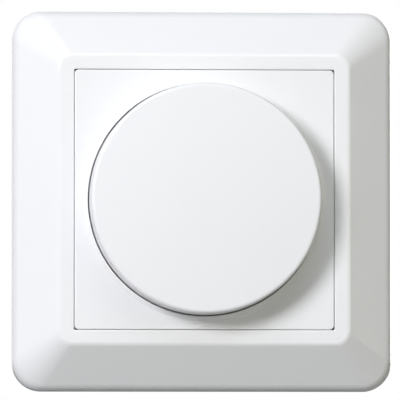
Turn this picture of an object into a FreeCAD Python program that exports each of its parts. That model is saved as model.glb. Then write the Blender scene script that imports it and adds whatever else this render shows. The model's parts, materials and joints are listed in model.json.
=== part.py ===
"""Flush-mounted rotary dimmer switch with a push on, push off knob.

X points right, Y into the wall and Z up, in millimetres. The origin is the
middle of the support plate's back, on the wall's face: what shows in the room
lies at negative Y, and what sits in the wall box at positive Y.
"""
import FreeCAD, Part
import math
import os
import re

import Sketcher
from FreeCAD import Placement, Rotation, Vector

# Driving dimensions: name, millimetres (or a count or an angle), meaning

SIZES = [
    ("frame_side", 81.0, "outer side of the cover frame"),
    ("frame_corner", 6.2, "outer corner radius of the frame"),
    ("frame_height", 10.0, "land of the frame above the wall"),
    ("frame_wall", 2.0, "wall of the moulded frame"),
    ("side_height", 3.2, "steep side of the frame, up to its brow"),
    ("side_draft", 0.2, "draft of the steep side"),
    ("brow_round", 3.0, "rounding where the side meets the slope"),
    ("land_width", 3.05, "flat land round the frame's opening"),
    ("land_corner", 2.8, "corner radius of the land"),
    ("land_round", 1.4, "rounding where the slope meets the land"),
    ("rim_wall", 1.6, "wall that lines the frame's opening"),
    ("rim_edge", 0.25, "rounding of the opening's front edge"),
    ("ledge_width", 2.4, "ledge that carries the centre plate"),
    ("ledge_height", 2.4, "thickness of that ledge"),
    ("rib_wall", 1.2, "thickness of moulded ribs"),
    ("rib_offset", 14.0, "distance of the frame's ribs from its middle"),
    ("relief_half", 10.2, "half width of the relief over the screws"),
    ("relief_height", 3.2, "height of that relief"),
    ("relief_margin", 4.0, "that relief from the inside of the frame's wall"),
    ("plate_side", 55.0, "side of the centre plate"),
    ("plate_corner", 0.9, "corner radius of the centre plate"),
    ("opening_corner", 0.3, "corner radius of the frame's opening"),
    ("plate_rib_short", 0.8, "corner ribs of the centre plate, short of its skirt"),
    ("plate_gap", 0.1, "gap between centre plate and frame"),
    ("plate_sink", 0.1, "centre plate below the land"),
    ("plate_wall", 1.6, "front wall of the centre plate"),
    ("plate_edge", 0.25, "rounding of the centre plate's edge"),
    ("skirt_wall", 1.4, "skirt of the centre plate"),
    ("well_wall", 1.1, "wall of the knob's well"),
    ("nut_clear", 1.1, "floor of the well before the fixing nut"),
    ("floor_wall", 1.4, "floor of the well"),
    ("collar_width", 0.95, "raised collar round the well"),
    ("collar_crest", 0.25, "flat crest of the collar"),
    ("collar_height", 0.35, "height of the collar"),
    ("boss_wall", 1.1, "wall of the plate's seating ring"),
    ("knob_margin", 3.05, "knob inside the edge of the centre plate"),
    ("knob_gap", 0.3, "running gap round the knob"),
    ("knob_rise", 7.5, "rim of the knob above the plate"),
    ("knob_crown", 0.6, "dome of the knob's face"),
    ("knob_taper", 0.1, "knob narrower at its rim"),
    ("knob_edge", 0.8, "rounding of the knob's edge"),
    ("knob_clear", 0.8, "pushed knob to the floor of its well"),
    ("knob_wall", 1.6, "wall of the knob"),
    ("knob_face", 1.8, "face of the knob"),
    ("knob_fit", 0.02, "knob round its shaft"),
    ("knob_ribs", 6, "ribs under the knob's face"),
    ("knob_rib_gap", 0.4, "those ribs to the knob clip"),
    ("hub_radius", 5.0, "hub of the knob"),
    ("hub_slot", 1.0, "slots that let the hub spring"),
    ("clip_wall", 0.6, "knob clip, radially"),
    ("clip_width", 1.6, "knob clip along the shaft"),
    ("clip_inset", 0.2, "knob clip from the hub's end"),
    ("clip_angle", 300.0, "angle that the knob clip covers"),
    ("shaft_radius", 3.0, "shaft"),
    ("shaft_flat", 2.25, "flat of the shaft, from its axis"),
    ("shaft_fit", 0.06, "radial running clearance of the shaft"),
    ("shaft_chamfer", 0.4, "chamfer at the ends of shaft and bushing"),
    ("shaft_gap", 0.1, "front end of the shaft to the knob"),
    ("shaft_out", 0.4, "shaft behind the potentiometer case"),
    ("flat_run", 1.0, "flat of the shaft beyond the knob's hub"),
    ("push_travel", 1.2, "travel of the knob when pushed"),
    ("bushing_radius", 5.0, "threaded bushing"),
    ("bushing_out", 0.5, "bushing in front of the panel nut"),
    ("bushing_gap", 0.4, "bushing to the pushed knob's hub"),
    ("flange_height", 1.5, "flange of the bushing"),
    ("nut_flats", 14.0, "hexagon nuts across their flats"),
    ("nut_height", 2.2, "hexagon nuts"),
    ("nut_room", 0.5, "room round the fixing nut"),
    ("washer_radius", 8.2, "washer under the panel nut"),
    ("washer_gauge", 0.4, "thickness of that washer"),
    ("hole_play", 0.1, "clearance of fixed parts in their holes"),
    ("joint_overlap", 0.3, "ribs and bosses into the wall that carries them"),
    ("steel_margin", 3.0, "support plate to the inside of the frame's wall"),
    ("steel_gauge", 1.2, "sheet of the support plate"),
    ("steel_corner", 8.0, "chamfered corners of the support plate"),
    ("steel_round", 2.0, "rounding where a chamfer meets a side"),
    ("bead_place", 21.2, "stiffening beads above and below the axis"),
    ("bead_length", 24.0, "beads, end to end"),
    ("bead_width", 3.0, "beads"),
    ("bead_height", 0.5, "beads pressed forwards"),
    ("bead_slant", 0.45, "slant along the front edge of a bead"),
    ("bead_wall", 0.6, "wall of a bead, across it"),
    ("slot_spacing", 60.0, "wall box screws, centre to centre"),
    ("slot_width", 4.2, "slots for the box screws"),
    ("slot_length", 7.0, "slots, end to end"),
    ("housing_side", 48.0, "side of the housing"),
    ("housing_corner", 8.0, "chamfered corners of the housing"),
    ("housing_room", 2.2, "room behind the circuit board"),
    ("housing_wall", 1.6, "wall of the housing"),
    ("housing_round", 0.8, "rounded edges of housing and lid"),
    ("lid_wall", 1.8, "lid of the housing"),
    ("boss_inset", 4.9, "screw bosses from the housing's inside, both ways"),
    ("boss_radius", 2.6, "screw bosses"),
    ("tapping_radius", 1.3, "self-tapping screws"),
    ("tapping_head", 2.4, "their heads"),
    ("tapping_length", 13.0, "their shanks"),
    ("head_height", 1.3, "height of small screw heads"),
    ("slot_cut", 0.8, "driver slots, width"),
    ("slot_sink", 0.6, "driver slots, depth"),
    ("case_radius", 9.5, "potentiometer case"),
    ("case_wall", 0.5, "its sheet"),
    ("case_depth", 7.0, "its length"),
    ("turning_gap", 0.3, "shaft and rotor hub in the holes of the cases"),
    ("rotor_clear", 1.4, "wiper rotor inside the potentiometer's sheet"),
    ("rotor_start", 5.6, "front of the rotor, behind the wall's face"),
    ("rotor_wall", 2.0, "thickness of the rotor"),
    ("rotor_hub_wall", 0.85, "wall of the hub at the rotor's back"),
    ("rotor_hub_length", 1.1, "length of that hub"),
    ("track_wall", 1.0, "resistance track carrier"),
    ("track_bore", 5.0, "its bore"),
    ("track_tab", 5.5, "half width of its tab"),
    ("track_edge", 0.8, "track carrier below its pins"),
    ("pin_place", 10.2, "potentiometer pins below the axis"),
    ("pin_pitch", 3.6, "pins, centre to centre"),
    ("pin_radius", 0.35, "solder pins"),
    ("pin_play", 0.05, "pins and leads in their holes"),
    ("wiper_margin", 0.4, "wiper ring inside the rotor's edge"),
    ("wiper_width", 1.6, "wiper ring, radially"),
    ("wiper_gauge", 0.25, "its sheet"),
    ("wiper_gap", 0.1, "wiper fingers to the track"),
    ("finger_place", 1.2, "wiper fingers from the middle"),
    ("finger_half", 0.4, "half width of a finger"),
    ("ring_gauge", 0.6, "shaft clip, thickness"),
    ("ring_radius", 4.2, "shaft clip, outside"),
    ("ring_seat", 2.4, "groove for the shaft clip"),
    ("ring_gap", 0.2, "shaft clip to the bushing"),
    ("switch_width", 17.0, "switch case, X"),
    ("switch_side", 12.0, "switch case, Z"),
    ("switch_depth", 7.0, "switch case, Y"),
    ("switch_wall", 0.8, "its wall"),
    ("tip_gap", 0.1, "shaft's end to the plunger"),
    ("plunger_head", 1.8, "head of the plunger"),
    ("plunger_radius", 3.0, "its radius"),
    ("plunger_stem", 1.1, "stem inside the spring"),
    ("stem_length", 2.4, "length of that stem"),
    ("spring_radius", 1.9, "mean radius of the return spring"),
    ("spring_wire", 0.25, "radius of its wire"),
    ("spring_turns", 4.5, "turns of the spring"),
    ("lever_pivot", 5.4, "lever's pivot from the shaft's axis"),
    ("lever_reach", 2.85, "lever from its pivot to its tip"),
    ("lever_gauge", 0.5, "sheet of the lever"),
    ("lever_half", 1.6, "half width of the lever"),
    ("lever_pin", 0.6, "radius of its pivot"),
    ("lever_tail", 1.7, "lever beyond its pivot"),
    ("lever_gap", 0.1, "lever to the plunger's head"),
    ("contact_place", 7.0, "switch pins from the middle"),
    ("blade_gap", 0.5, "contact blades to the back of the switch case"),
    ("blade_gauge", 0.4, "their sheet"),
    ("blade_half", 0.6, "their half width, X"),
    ("blade_reach", 1.5, "their half length, Z"),
    ("board_rise", 1.3, "circuit board behind the switch case"),
    ("board_gauge", 1.6, "thickness of the board"),
    ("board_gap", 0.9, "board to the inside of the housing"),
    ("board_clear", 0.4, "board round the screw boss"),
    ("board_foot", 10.9, "lower edge of the board below the axis"),
    ("board_corner", 7.5, "its chamfered upper corners"),
    ("board_stand", 0.1, "parts that lie off the board"),
    ("solder_length", 0.9, "pins beyond the board"),
    ("post_radius", 1.0, "posts that carry the board"),
    ("post_inset", 0.7, "lower posts inside the board's edge"),
    ("post_low", 8.0, "lower posts below the axis"),
    ("post_in", 8.0, "upper posts from the middle"),
    ("post_under", 1.0, "upper posts inside the board's edge"),
    ("choke_place", 13.3, "choke from the middle, both ways"),
    ("core_outer", 6.1, "choke core, outside"),
    ("core_inner", 3.2, "choke core, inside"),
    ("core_height", 7.2, "choke core"),
    ("wire_gauge", 0.7, "winding wire"),
    ("winding_gap", 0.05, "turns inside the core, off its wall"),
    ("winding_turns", 14, "turns on the choke"),
    ("film_width", 12.0, "film capacitor, X"),
    ("film_thick", 6.5, "film capacitor, Z"),
    ("film_height", 9.6, "film capacitor, Y"),
    ("film_place", 15.8, "film capacitor above the axis"),
    ("timing_width", 7.2, "timing capacitor, X"),
    ("timing_thick", 2.6, "timing capacitor, Z"),
    ("timing_height", 6.0, "timing capacitor, Y"),
    ("timing_place", 8.6, "timing capacitor above the axis"),
    ("case_round", 0.5, "rounded edges of small cases"),
    ("resistor_radius", 1.1, "resistors"),
    ("resistor_length", 6.4, "resistors"),
    ("resistor_pitch", 2.5, "resistors, side by side"),
    ("resistor_place", 16.5, "middle resistor left of the axis"),
    ("resistor_low", 2.6, "resistors and diac below the axis"),
    ("lead_radius", 0.3, "leads of small parts"),
    ("lead_bend", 0.6, "bend of a lead beyond its part"),
    ("diac_radius", 0.9, "diac"),
    ("diac_length", 4.2, "diac"),
    ("diac_place", 11.2, "diac left of the axis"),
    ("triac_place", 16.5, "triac left of the axis"),
    ("triac_width", 10.0, "triac"),
    ("triac_body", 9.0, "its body below the axis"),
    ("triac_tab", 6.5, "its tab above the axis"),
    ("triac_gauge", 1.3, "thickness of the tab"),
    ("triac_thick", 4.4, "thickness of the body"),
    ("triac_hole", 3.3, "its screw above the axis"),
    ("triac_pitch", 2.54, "its leads"),
    ("triac_lead", 0.5, "lead section"),
    ("triac_foot", 1.0, "leads below the triac's body"),
    ("pad_gauge", 0.3, "thermal pad"),
    ("pad_margin", 0.3, "thermal pad beyond the tab"),
    ("window_margin", 0.7, "lid window beyond the tab"),
    ("machine_radius", 1.5, "machine screws"),
    ("machine_head", 2.7, "their heads"),
    ("machine_length", 6.0, "triac screw's shank"),
    ("small_nut_flats", 5.5, "nut of the triac screw"),
    ("small_nut_height", 2.0, "its height"),
    ("fuse_place", 15.8, "fuse right of the axis"),
    ("fuse_radius", 2.5, "glass of the fuse"),
    ("fuse_cap", 2.6, "caps of the fuse"),
    ("fuse_cap_length", 5.4, "length of a cap"),
    ("fuse_length", 20.0, "fuse"),
    ("fuse_stand", 5.0, "fuse's axis above the board"),
    ("fuse_clip_width", 4.0, "fuse clips along the fuse"),
    ("fuse_clip_gauge", 0.4, "their sheet"),
    ("trimmer_x", 11.3, "trimmer right of the axis"),
    ("trimmer_z", 14.0, "trimmer above the axis"),
    ("trimmer_side", 5.6, "trimmer case"),
    ("trimmer_height", 5.2, "trimmer case on the board"),
    ("trimmer_seat", 2.0, "rotor inside the case"),
    ("trimmer_stem", 1.4, "rotor's stem"),
    ("trimmer_start", 2.6, "front of the stem behind the wall's face"),
    ("trimmer_sink", 1.0, "rotor's seat in the case"),
    ("trimmer_disc", 0.8, "rotor's disc in front of the case"),
    ("trimmer_fit", 0.08, "rotor in its seat"),
    ("terminal_pitch", 9.5, "terminals, centre to centre"),
    ("terminal_y", 17.2, "terminal screws behind the wall's face"),
    ("cage_width", 6.4, "terminal cage, X"),
    ("cage_depth", 5.2, "terminal cage, Y"),
    ("cage_side", 0.8, "side walls of the cage"),
    ("cage_nut", 1.4, "threaded wall of the cage"),
    ("cage_top", 0.9, "far wall of the cage"),
    ("cage_window", 4.6, "window of the cage"),
    ("cage_travel", 2.2, "travel of the cage"),
    ("cage_bend", 0.7, "bends of the cage's sheet"),
    ("strip_low", 16.9, "contact strip below the axis"),
    ("strip_gauge", 0.8, "contact strip"),
    ("strip_width", 4.4, "contact strip"),
    ("strip_gap", 0.1, "strip to cage and screw"),
    ("strip_out", 0.4, "contact strip in front of the cage"),
    ("strip_rise", 1.3, "leg of the strip above the board's edge"),
    ("terminal_radius", 1.5, "terminal screws"),
    ("terminal_fit", 0.06, "their running clearance in the cage"),
    ("terminal_head", 2.1, "their heads"),
    ("terminal_head_height", 1.5, "their heads"),
    ("terminal_clear", 0.2, "lowered cage to the screw's head"),
    ("access_radius", 2.3, "driver holes in the housing"),
    ("wire_radius", 1.35, "wire holes in the housing's back"),
    ("wire_funnel", 0.6, "funnels that lead the wires in"),
    ("wire_low", 14.2, "wire holes below the axis"),
    ("divider_wall", 1.0, "walls between the terminals"),
    ("divider_start", 13.0, "their front edge behind the wall's face"),
    ("divider_gap", 0.4, "those walls to the board"),
    ("claw_x", 25.75, "claw screws from the axis"),
    ("claw_z", 6.5, "claw screws above or below the axis"),
    ("claw_screw", 1.4, "claw screws"),
    ("claw_screw_fit", 0.2, "claw screws in lug and plate"),
    ("claw_head", 2.5, "their heads"),
    ("claw_screw_end", 21.0, "their ends behind the wall's face"),
    ("claw_half", 3.0, "half width of a claw"),
    ("claw_gauge", 0.8, "sheet of a claw's arm"),
    ("claw_lug", 1.5, "lug of a claw"),
    ("claw_lug_start", 18.0, "its front face behind the wall's face"),
    ("claw_inner", 24.3, "inner edge of the lug"),
    ("claw_arm", 27.5, "inner face of the arm"),
    ("claw_arm_start", 8.0, "front end of the arm"),
    ("claw_tooth", 0.5, "teeth beyond the arm"),
    ("claw_bevel", 1.5, "length of the bevel behind the teeth"),
    ("claw_notch", 2.0, "notches between the teeth"),
    ("claw_notch_half", 0.6, "their half width"),
    ("claw_notch_place", 1.2, "those notches from the middle of a claw"),
    ("claw_bend", 0.8, "inside of the bend from lug to arm"),
    ("claw_out", 2.2, "travel of a claw, outwards"),
    ("claw_forward", 7.0, "travel of a claw, forwards"),
    ("ramp_gap", 0.3, "claws to the ramps of the housing"),
    ("ramp_start", 5.0, "front end of the ramps"),
]

SIDES = (1, -1)
TERMINALS = (-1, 0, 1)
QUARTERS = 4
PAIR = 2

# Tolerances, in millimetres, for finding an edge by its place

LEVEL = 1e-4
NEAR = 0.1

doc = FreeCAD.newDocument("RotaryDimmer")
sheet = doc.addObject("Spreadsheet::Sheet", "Dims")
nodes = []


def fill_sheet():
    """Write each driving dimension into the sheet, with its alias."""
    for row, (name, size, meaning) in enumerate(SIZES, start=1):
        sheet.set(f"A{row}", meaning)
        sheet.set(f"B{row}", str(size))
        sheet.setAlias(f"B{row}", name)
    doc.recompute()


# Formulas and the objects bound to them

def formula(text):
    """Point every sheet name in a formula at its cell."""
    return re.sub(r"\b[a-z]+(?:_[a-z]+)+\b", lambda name: "Dims." + name.group(), text)


def value(text):
    """Work out a formula as a plain number."""
    return float(sheet.evalExpression(formula(text)))


def bind(thing, **formulas):
    """Bind properties to formulas; a double underscore stands for a dot."""
    for name, text in formulas.items():
        thing.setExpression(name.replace("__", "."), formula(text))


def place(thing, x, y, z):
    """Bind the position of an object."""
    bind(thing, Placement__Base__x=x, Placement__Base__y=y, Placement__Base__z=z)


def node(label, thing):
    """Mark an object as a finished sub-part."""
    thing.Label = label
    nodes.append(thing)
    return thing


# Primitives and booleans; cutters run 1 mm past the faces that they cut

ALONG = {
    "Y": Rotation(Vector(1, 0, 0), -90),
    "Z": Rotation(),
}


def block(name, x, y, z):
    """Box between three pairs of formulas, each its lower and upper end."""
    box = doc.addObject("Part::Box", name)
    sizes = [f"({high}) - ({low})" for low, high in (x, y, z)]
    bind(box, Length=sizes[0], Width=sizes[1], Height=sizes[2])
    place(box, x[0], y[0], z[0])
    return box


def rod(name, axis, radius, x, y, z, length):
    """Cylinder that starts at a point and runs along an axis."""
    cylinder = doc.addObject("Part::Cylinder", name)
    cylinder.Placement.Rotation = ALONG[axis]
    bind(cylinder, Radius=radius, Height=length)
    place(cylinder, x, y, z)
    return cylinder


def rod_y(name, radius, x, z, start, end):
    """Cylinder along Y between two depths."""
    return rod(name, "Y", radius, x, start, z, f"({end}) - ({start})")


def cut(name, base, *tools):
    """Take tools away from a base."""
    tool = tools[0] if len(tools) == 1 else fuse(name + "_tools", *tools)
    result = doc.addObject("Part::Cut", name)
    result.Base = base
    result.Tool = tool
    return result


def fuse(name, *shapes):
    """Join shapes."""
    result = doc.addObject("Part::MultiFuse", name)
    result.Shapes = list(shapes)
    result.Refine = True
    return result


def group(name, *shapes):
    """Keep shapes together as separate solids of one sub-part."""
    result = doc.addObject("Part::Compound", name)
    result.Links = list(shapes)
    return result


def common(name, first, second):
    """Keep what two shapes share."""
    result = doc.addObject("Part::MultiCommon", name)
    result.Shapes = [first, second]
    return result


def rounded(name, base, radius, chosen=lambda edge: True):
    """Round the edges of a shape that a test picks, or every edge."""
    doc.recompute()
    result = doc.addObject("Part::Fillet", name)
    result.Base = base
    size = value(radius)
    result.Edges = [(index + 1, size, size) for index, edge in enumerate(base.Shape.Edges) if chosen(edge)]
    return result


def hexagon(name, flats, start, end, x="0", z="0"):
    """Hexagon prism along Y."""
    prism_shape = doc.addObject("Part::Prism", name)
    prism_shape.Polygon = 6
    prism_shape.Placement.Rotation = ALONG["Y"]
    bind(prism_shape, Circumradius=f"({flats}) / sqrt(3)", Height=f"({end}) - ({start})")
    place(prism_shape, x, start, z)
    return prism_shape


# Bodies, sketches and features

def new_body(name):
    """Start a body."""
    return doc.addObject("PartDesign::Body", name + "_body")


def origin_part(body, role):
    """Find an origin plane or axis of a body by its role."""
    return next(part for part in body.Origin.OriginFeatures if part.Role == role)


def sketch_on(body, name, role, offset):
    """Sketch on an origin plane, moved along the plane's normal."""
    sketch = body.newObject("Sketcher::SketchObject", name)
    sketch.AttachmentSupport = [(origin_part(body, role), "")]
    sketch.MapMode = "FlatFace"
    bind(sketch, AttachmentOffset__Base__z=offset)
    return sketch


def pin_point(sketch, geometry, end, x, y):
    """Fix a point of a sketch by two formulas."""
    for kind, text in (("DistanceX", x), ("DistanceY", y)):
        index = sketch.addConstraint(Sketcher.Constraint(kind, -1, 1, geometry, end, value(text)))
        sketch.setExpression(f"Constraints[{index}]", formula(text))


def fix_radius(sketch, geometry, radius):
    """Fix the radius of an arc or a circle by a formula."""
    index = sketch.addConstraint(Sketcher.Constraint("Radius", geometry, value(radius)))
    sketch.setExpression(f"Constraints[{index}]", formula(radius))


def outline(sketch, corners):
    """Closed outline through corners.

    A corner's third entry starts an arc of that radius, bulging to the left;
    its fourth is the X of the arc's centre, which fixes a half circle better.
    """
    points = [Vector(value(corner[0]), value(corner[1]), 0) for corner in corners]
    first = sketch.GeometryCount
    count = len(corners)
    ends = []
    for index, corner in enumerate(corners):
        here, there = points[index], points[(index + 1) % count]
        if len(corner) == 2:
            sketch.addGeometry(Part.LineSegment(here, there), False)
            ends.append((1, 2))
            continue
        chord = there - here
        radius = value(corner[2])
        rise = radius if len(corner) == 4 else radius - math.sqrt(radius ** 2 - (chord.Length / 2) ** 2)
        side = Vector(-chord.y, chord.x, 0).normalize()
        middle = (here + there) / 2 + side * rise
        sketch.addGeometry(Part.Arc(here, middle, there), False)
        starts_here = sketch.getPoint(first + index, 1).isEqual(here, 1e-6)
        ends.append((1, 2) if starts_here else (2, 1))
    for index, corner in enumerate(corners):
        following = (index + 1) % count
        sketch.addConstraint(Sketcher.Constraint(
            "Coincident", first + index, ends[index][1], first + following, ends[following][0]))
        pin_point(sketch, first + index, ends[index][0], corner[0], corner[1])
        if len(corner) == 3:
            fix_radius(sketch, first + index, corner[2])
        elif len(corner) == 4:
            centre = sketch.addConstraint(Sketcher.Constraint(
                "DistanceX", -1, 1, first + index, 3, value(corner[3])))
            sketch.setExpression(f"Constraints[{centre}]", formula(corner[3]))


def rectangle(sketch, x, y):
    """Rectangle between two pairs of formulas."""
    outline(sketch, [(x[0], y[0]), (x[1], y[0]), (x[1], y[1]), (x[0], y[1])])


def rounded_square(sketch, half, corner):
    """Square about the origin, with round corners."""
    far, near = f"({half})", f"({half} - ({corner}))"
    outline(sketch, [
        (f"-{near}", far), (near, far, corner), (far, near), (far, f"-{near}", corner),
        (near, f"-{far}"), (f"-{near}", f"-{far}", corner), (f"-{far}", f"-{near}"),
        (f"-{far}", near, corner),
    ])


def chamfered_square(sketch, half, corner, low=None):
    """Square about the origin with cut corners; low keeps the lower ones square."""
    far, near = f"({half})", f"({half} - ({corner}))"
    top = [(f"-{far}", near), (f"-{near}", far), (near, far), (far, near)]
    if low is None:
        foot = [(far, f"-{near}"), (near, f"-{far}"), (f"-{near}", f"-{far}"), (f"-{far}", f"-{near}")]
    else:
        foot = [(far, f"-({low})"), (f"-{far}", f"-({low})")]
    outline(sketch, top + foot)


def circle(sketch, x, y, radius):
    """Circle by its centre and radius."""
    geometry = sketch.addGeometry(
        Part.Circle(Vector(value(x), value(y), 0), Vector(0, 0, 1), value(radius)), False)
    pin_point(sketch, geometry, 3, x, y)
    fix_radius(sketch, geometry, radius)


def prism(body, name, start, end, draw, away=False):
    """Pad, or pocket if away, an outline in XZ between two depths along Y."""
    sketch = sketch_on(body, name + "_sketch", "XZ_Plane", f"-({start})")
    draw(sketch)
    before = body.Shape.Volume if away else 0
    feature = body.newObject("PartDesign::Pocket" if away else "PartDesign::Pad", name)
    feature.Profile = sketch
    feature.Reversed = not away
    bind(feature, Length=f"({end}) - ({start})")
    doc.recompute()
    if away and body.Shape.Volume >= before:
        raise ValueError(name + " cuts nothing")
    return feature


def rib(body, name, middle, wall, draw, away=False):
    """Pad, or pocket if away, an outline in XY, both ways from a height."""
    sketch = sketch_on(body, name + "_sketch", "XY_Plane", middle)
    draw(sketch)
    feature = body.newObject("PartDesign::Pocket" if away else "PartDesign::Pad", name)
    feature.Profile = sketch
    feature.Midplane = True
    bind(feature, Length=wall)
    doc.recompute()
    return feature


def revolve(body, name, corners, angle=360):
    """Turn an outline of radius and depth about the Y axis."""
    sketch = sketch_on(body, name + "_sketch", "XY_Plane", "0")
    outline(sketch, corners)
    feature = body.newObject("PartDesign::Revolution", name)
    feature.Profile = sketch
    feature.ReferenceAxis = (sketch, ["V_Axis"])
    feature.Angle = angle
    doc.recompute()
    return feature


def loft(body, name, sections, away=False):
    """Ruled loft through rounded squares, each its depth, half width and corner."""
    sketches = []
    for number, (depth, half, corner) in enumerate(sections):
        sketch = sketch_on(body, f"{name}_section_{number}", "XZ_Plane", f"-({depth})")
        rounded_square(sketch, half, corner)
        sketches.append(sketch)
    kind = "PartDesign::SubtractiveLoft" if away else "PartDesign::AdditiveLoft"
    feature = body.newObject(kind, name)
    feature.Profile = sketches[0]
    feature.Sections = sketches[1:]
    feature.Ruled = True
    doc.recompute()
    return feature


def round_edges(body, name, radius, chosen):
    """Fillet the edges of a body that a test picks."""
    feature = edge_feature(body, name, "PartDesign::Fillet", chosen)
    bind(feature, Radius=radius)
    doc.recompute()


def bevel_edges(body, name, size, chosen):
    """Chamfer the edges of a body that a test picks."""
    feature = edge_feature(body, name, "PartDesign::Chamfer", chosen)
    bind(feature, Size=size)
    doc.recompute()


def edge_feature(body, name, kind, chosen):
    """Feature on the edges of a body's last shape that a test picks."""
    doc.recompute()
    shape = body.Tip.Shape
    names = [f"Edge{index + 1}" for index, edge in enumerate(shape.Edges) if chosen(edge)]
    feature = body.newObject(kind, name)
    feature.Base = (shape_owner(body, feature), names)
    return feature


def shape_owner(body, feature):
    """The feature before the last one of a body."""
    solids = [part for part in body.Group if part.isDerivedFrom("PartDesign::Feature")]
    return solids[solids.index(feature) - 1]


def around(body, name, feature, count):
    """Repeat a feature about the Y axis."""
    pattern = body.newObject("PartDesign::PolarPattern", name)
    pattern.Originals = [feature]
    pattern.Axis = (origin_part(body, "Y_Axis"), [""])
    pattern.Angle = 360
    if isinstance(count, str):
        bind(pattern, Occurrences=count)
    else:
        pattern.Occurrences = count
    body.Tip = pattern
    doc.recompute()
    return pattern


def at_depth(edge, depth):
    """Whether an edge lies flat at a depth along Y."""
    box = edge.BoundBox
    return abs(box.YMin - depth) < LEVEL and abs(box.YMax - depth) < LEVEL


def runs_along_y(edge):
    """Whether a straight edge runs along Y."""
    return edge.BoundBox.XLength < LEVEL and edge.BoundBox.ZLength < LEVEL


def runs_along_z(edge, x, y):
    """Whether a straight edge runs along Z through a place."""
    box = edge.BoundBox
    upright = box.XLength < LEVEL and box.YLength < LEVEL
    return upright and abs(box.XMin - x) < NEAR and abs(box.YMin - y) < NEAR


# Depths along Y that several pieces share

STEEL_FRONT = "(-steel_gauge)"
PLATE_FRONT = "(-(frame_height - plate_sink))"
LEDGE_FRONT = "(-(steel_gauge + ledge_height))"
FLOOR_BACK = f"({STEEL_FRONT} - nut_height - nut_clear)"
FLOOR_FRONT = f"({FLOOR_BACK} - floor_wall)"
WASHER_FRONT = f"({FLOOR_FRONT} - washer_gauge)"
BUSHING_FRONT = f"({WASHER_FRONT} - nut_height - bushing_out)"
KNOB_RIM = f"({PLATE_FRONT} - knob_rise)"
KNOB_INSIDE = f"({KNOB_RIM} + knob_face)"
KNOB_END = f"({FLOOR_FRONT} - push_travel - knob_clear)"
HUB_END = f"({BUSHING_FRONT} - push_travel - bushing_gap)"
CLIP_END = f"({HUB_END} - clip_inset)"
CLIP_FRONT = f"({CLIP_END} - clip_width)"
KNOB_RIB_END = f"({CLIP_FRONT} - knob_rib_gap)"
CASE_FRONT = "(lid_wall + flange_height)"
CASE_BACK = f"({CASE_FRONT} + case_depth)"
TRACK_FRONT = f"({CASE_BACK} - case_wall - track_wall)"
SWITCH_BACK = f"({CASE_BACK} + switch_depth)"
SHAFT_END = f"({CASE_BACK} + shaft_out)"
BOARD_FRONT = f"({SWITCH_BACK} + board_rise)"
BOARD_BACK = f"({BOARD_FRONT} + board_gauge)"
PIN_END = f"({BOARD_BACK} + solder_length)"
INNER_FLOOR = f"({BOARD_BACK} + housing_room)"
HOUSING_BACK = f"({INNER_FLOOR} + housing_wall)"

# Shared widths

INNER_HALF = "(housing_side / 2 - housing_wall)"
BOSS_PLACE = f"({INNER_HALF} - boss_inset)"
BOARD_HALF = f"({INNER_HALF} - board_gap)"
OPENING_HALF = "(plate_side / 2 + plate_gap)"
LAND_HALF = f"({OPENING_HALF} + land_width)"
BROW_HALF = "(frame_side / 2 - side_draft)"
SLOPE_RUN = f"({BROW_HALF} - {LAND_HALF})"
SLOPE_RISE = "(frame_height - side_height)"
KNOB_RADIUS = "(plate_side / 2 - knob_margin)"
WELL_RADIUS = f"({KNOB_RADIUS} + knob_gap)"
TAB_ROOT = "(-case_radius * 0.7)"
ROTOR_RADIUS = "(case_radius - case_wall - rotor_clear)"
ROTOR_HUB = "(shaft_radius + rotor_hub_wall)"
CAGE_NUT_TOP = "(-strip_low - strip_gap)"
CAGE_LOW = f"({CAGE_NUT_TOP} - cage_nut)"


# Front pieces

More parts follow.
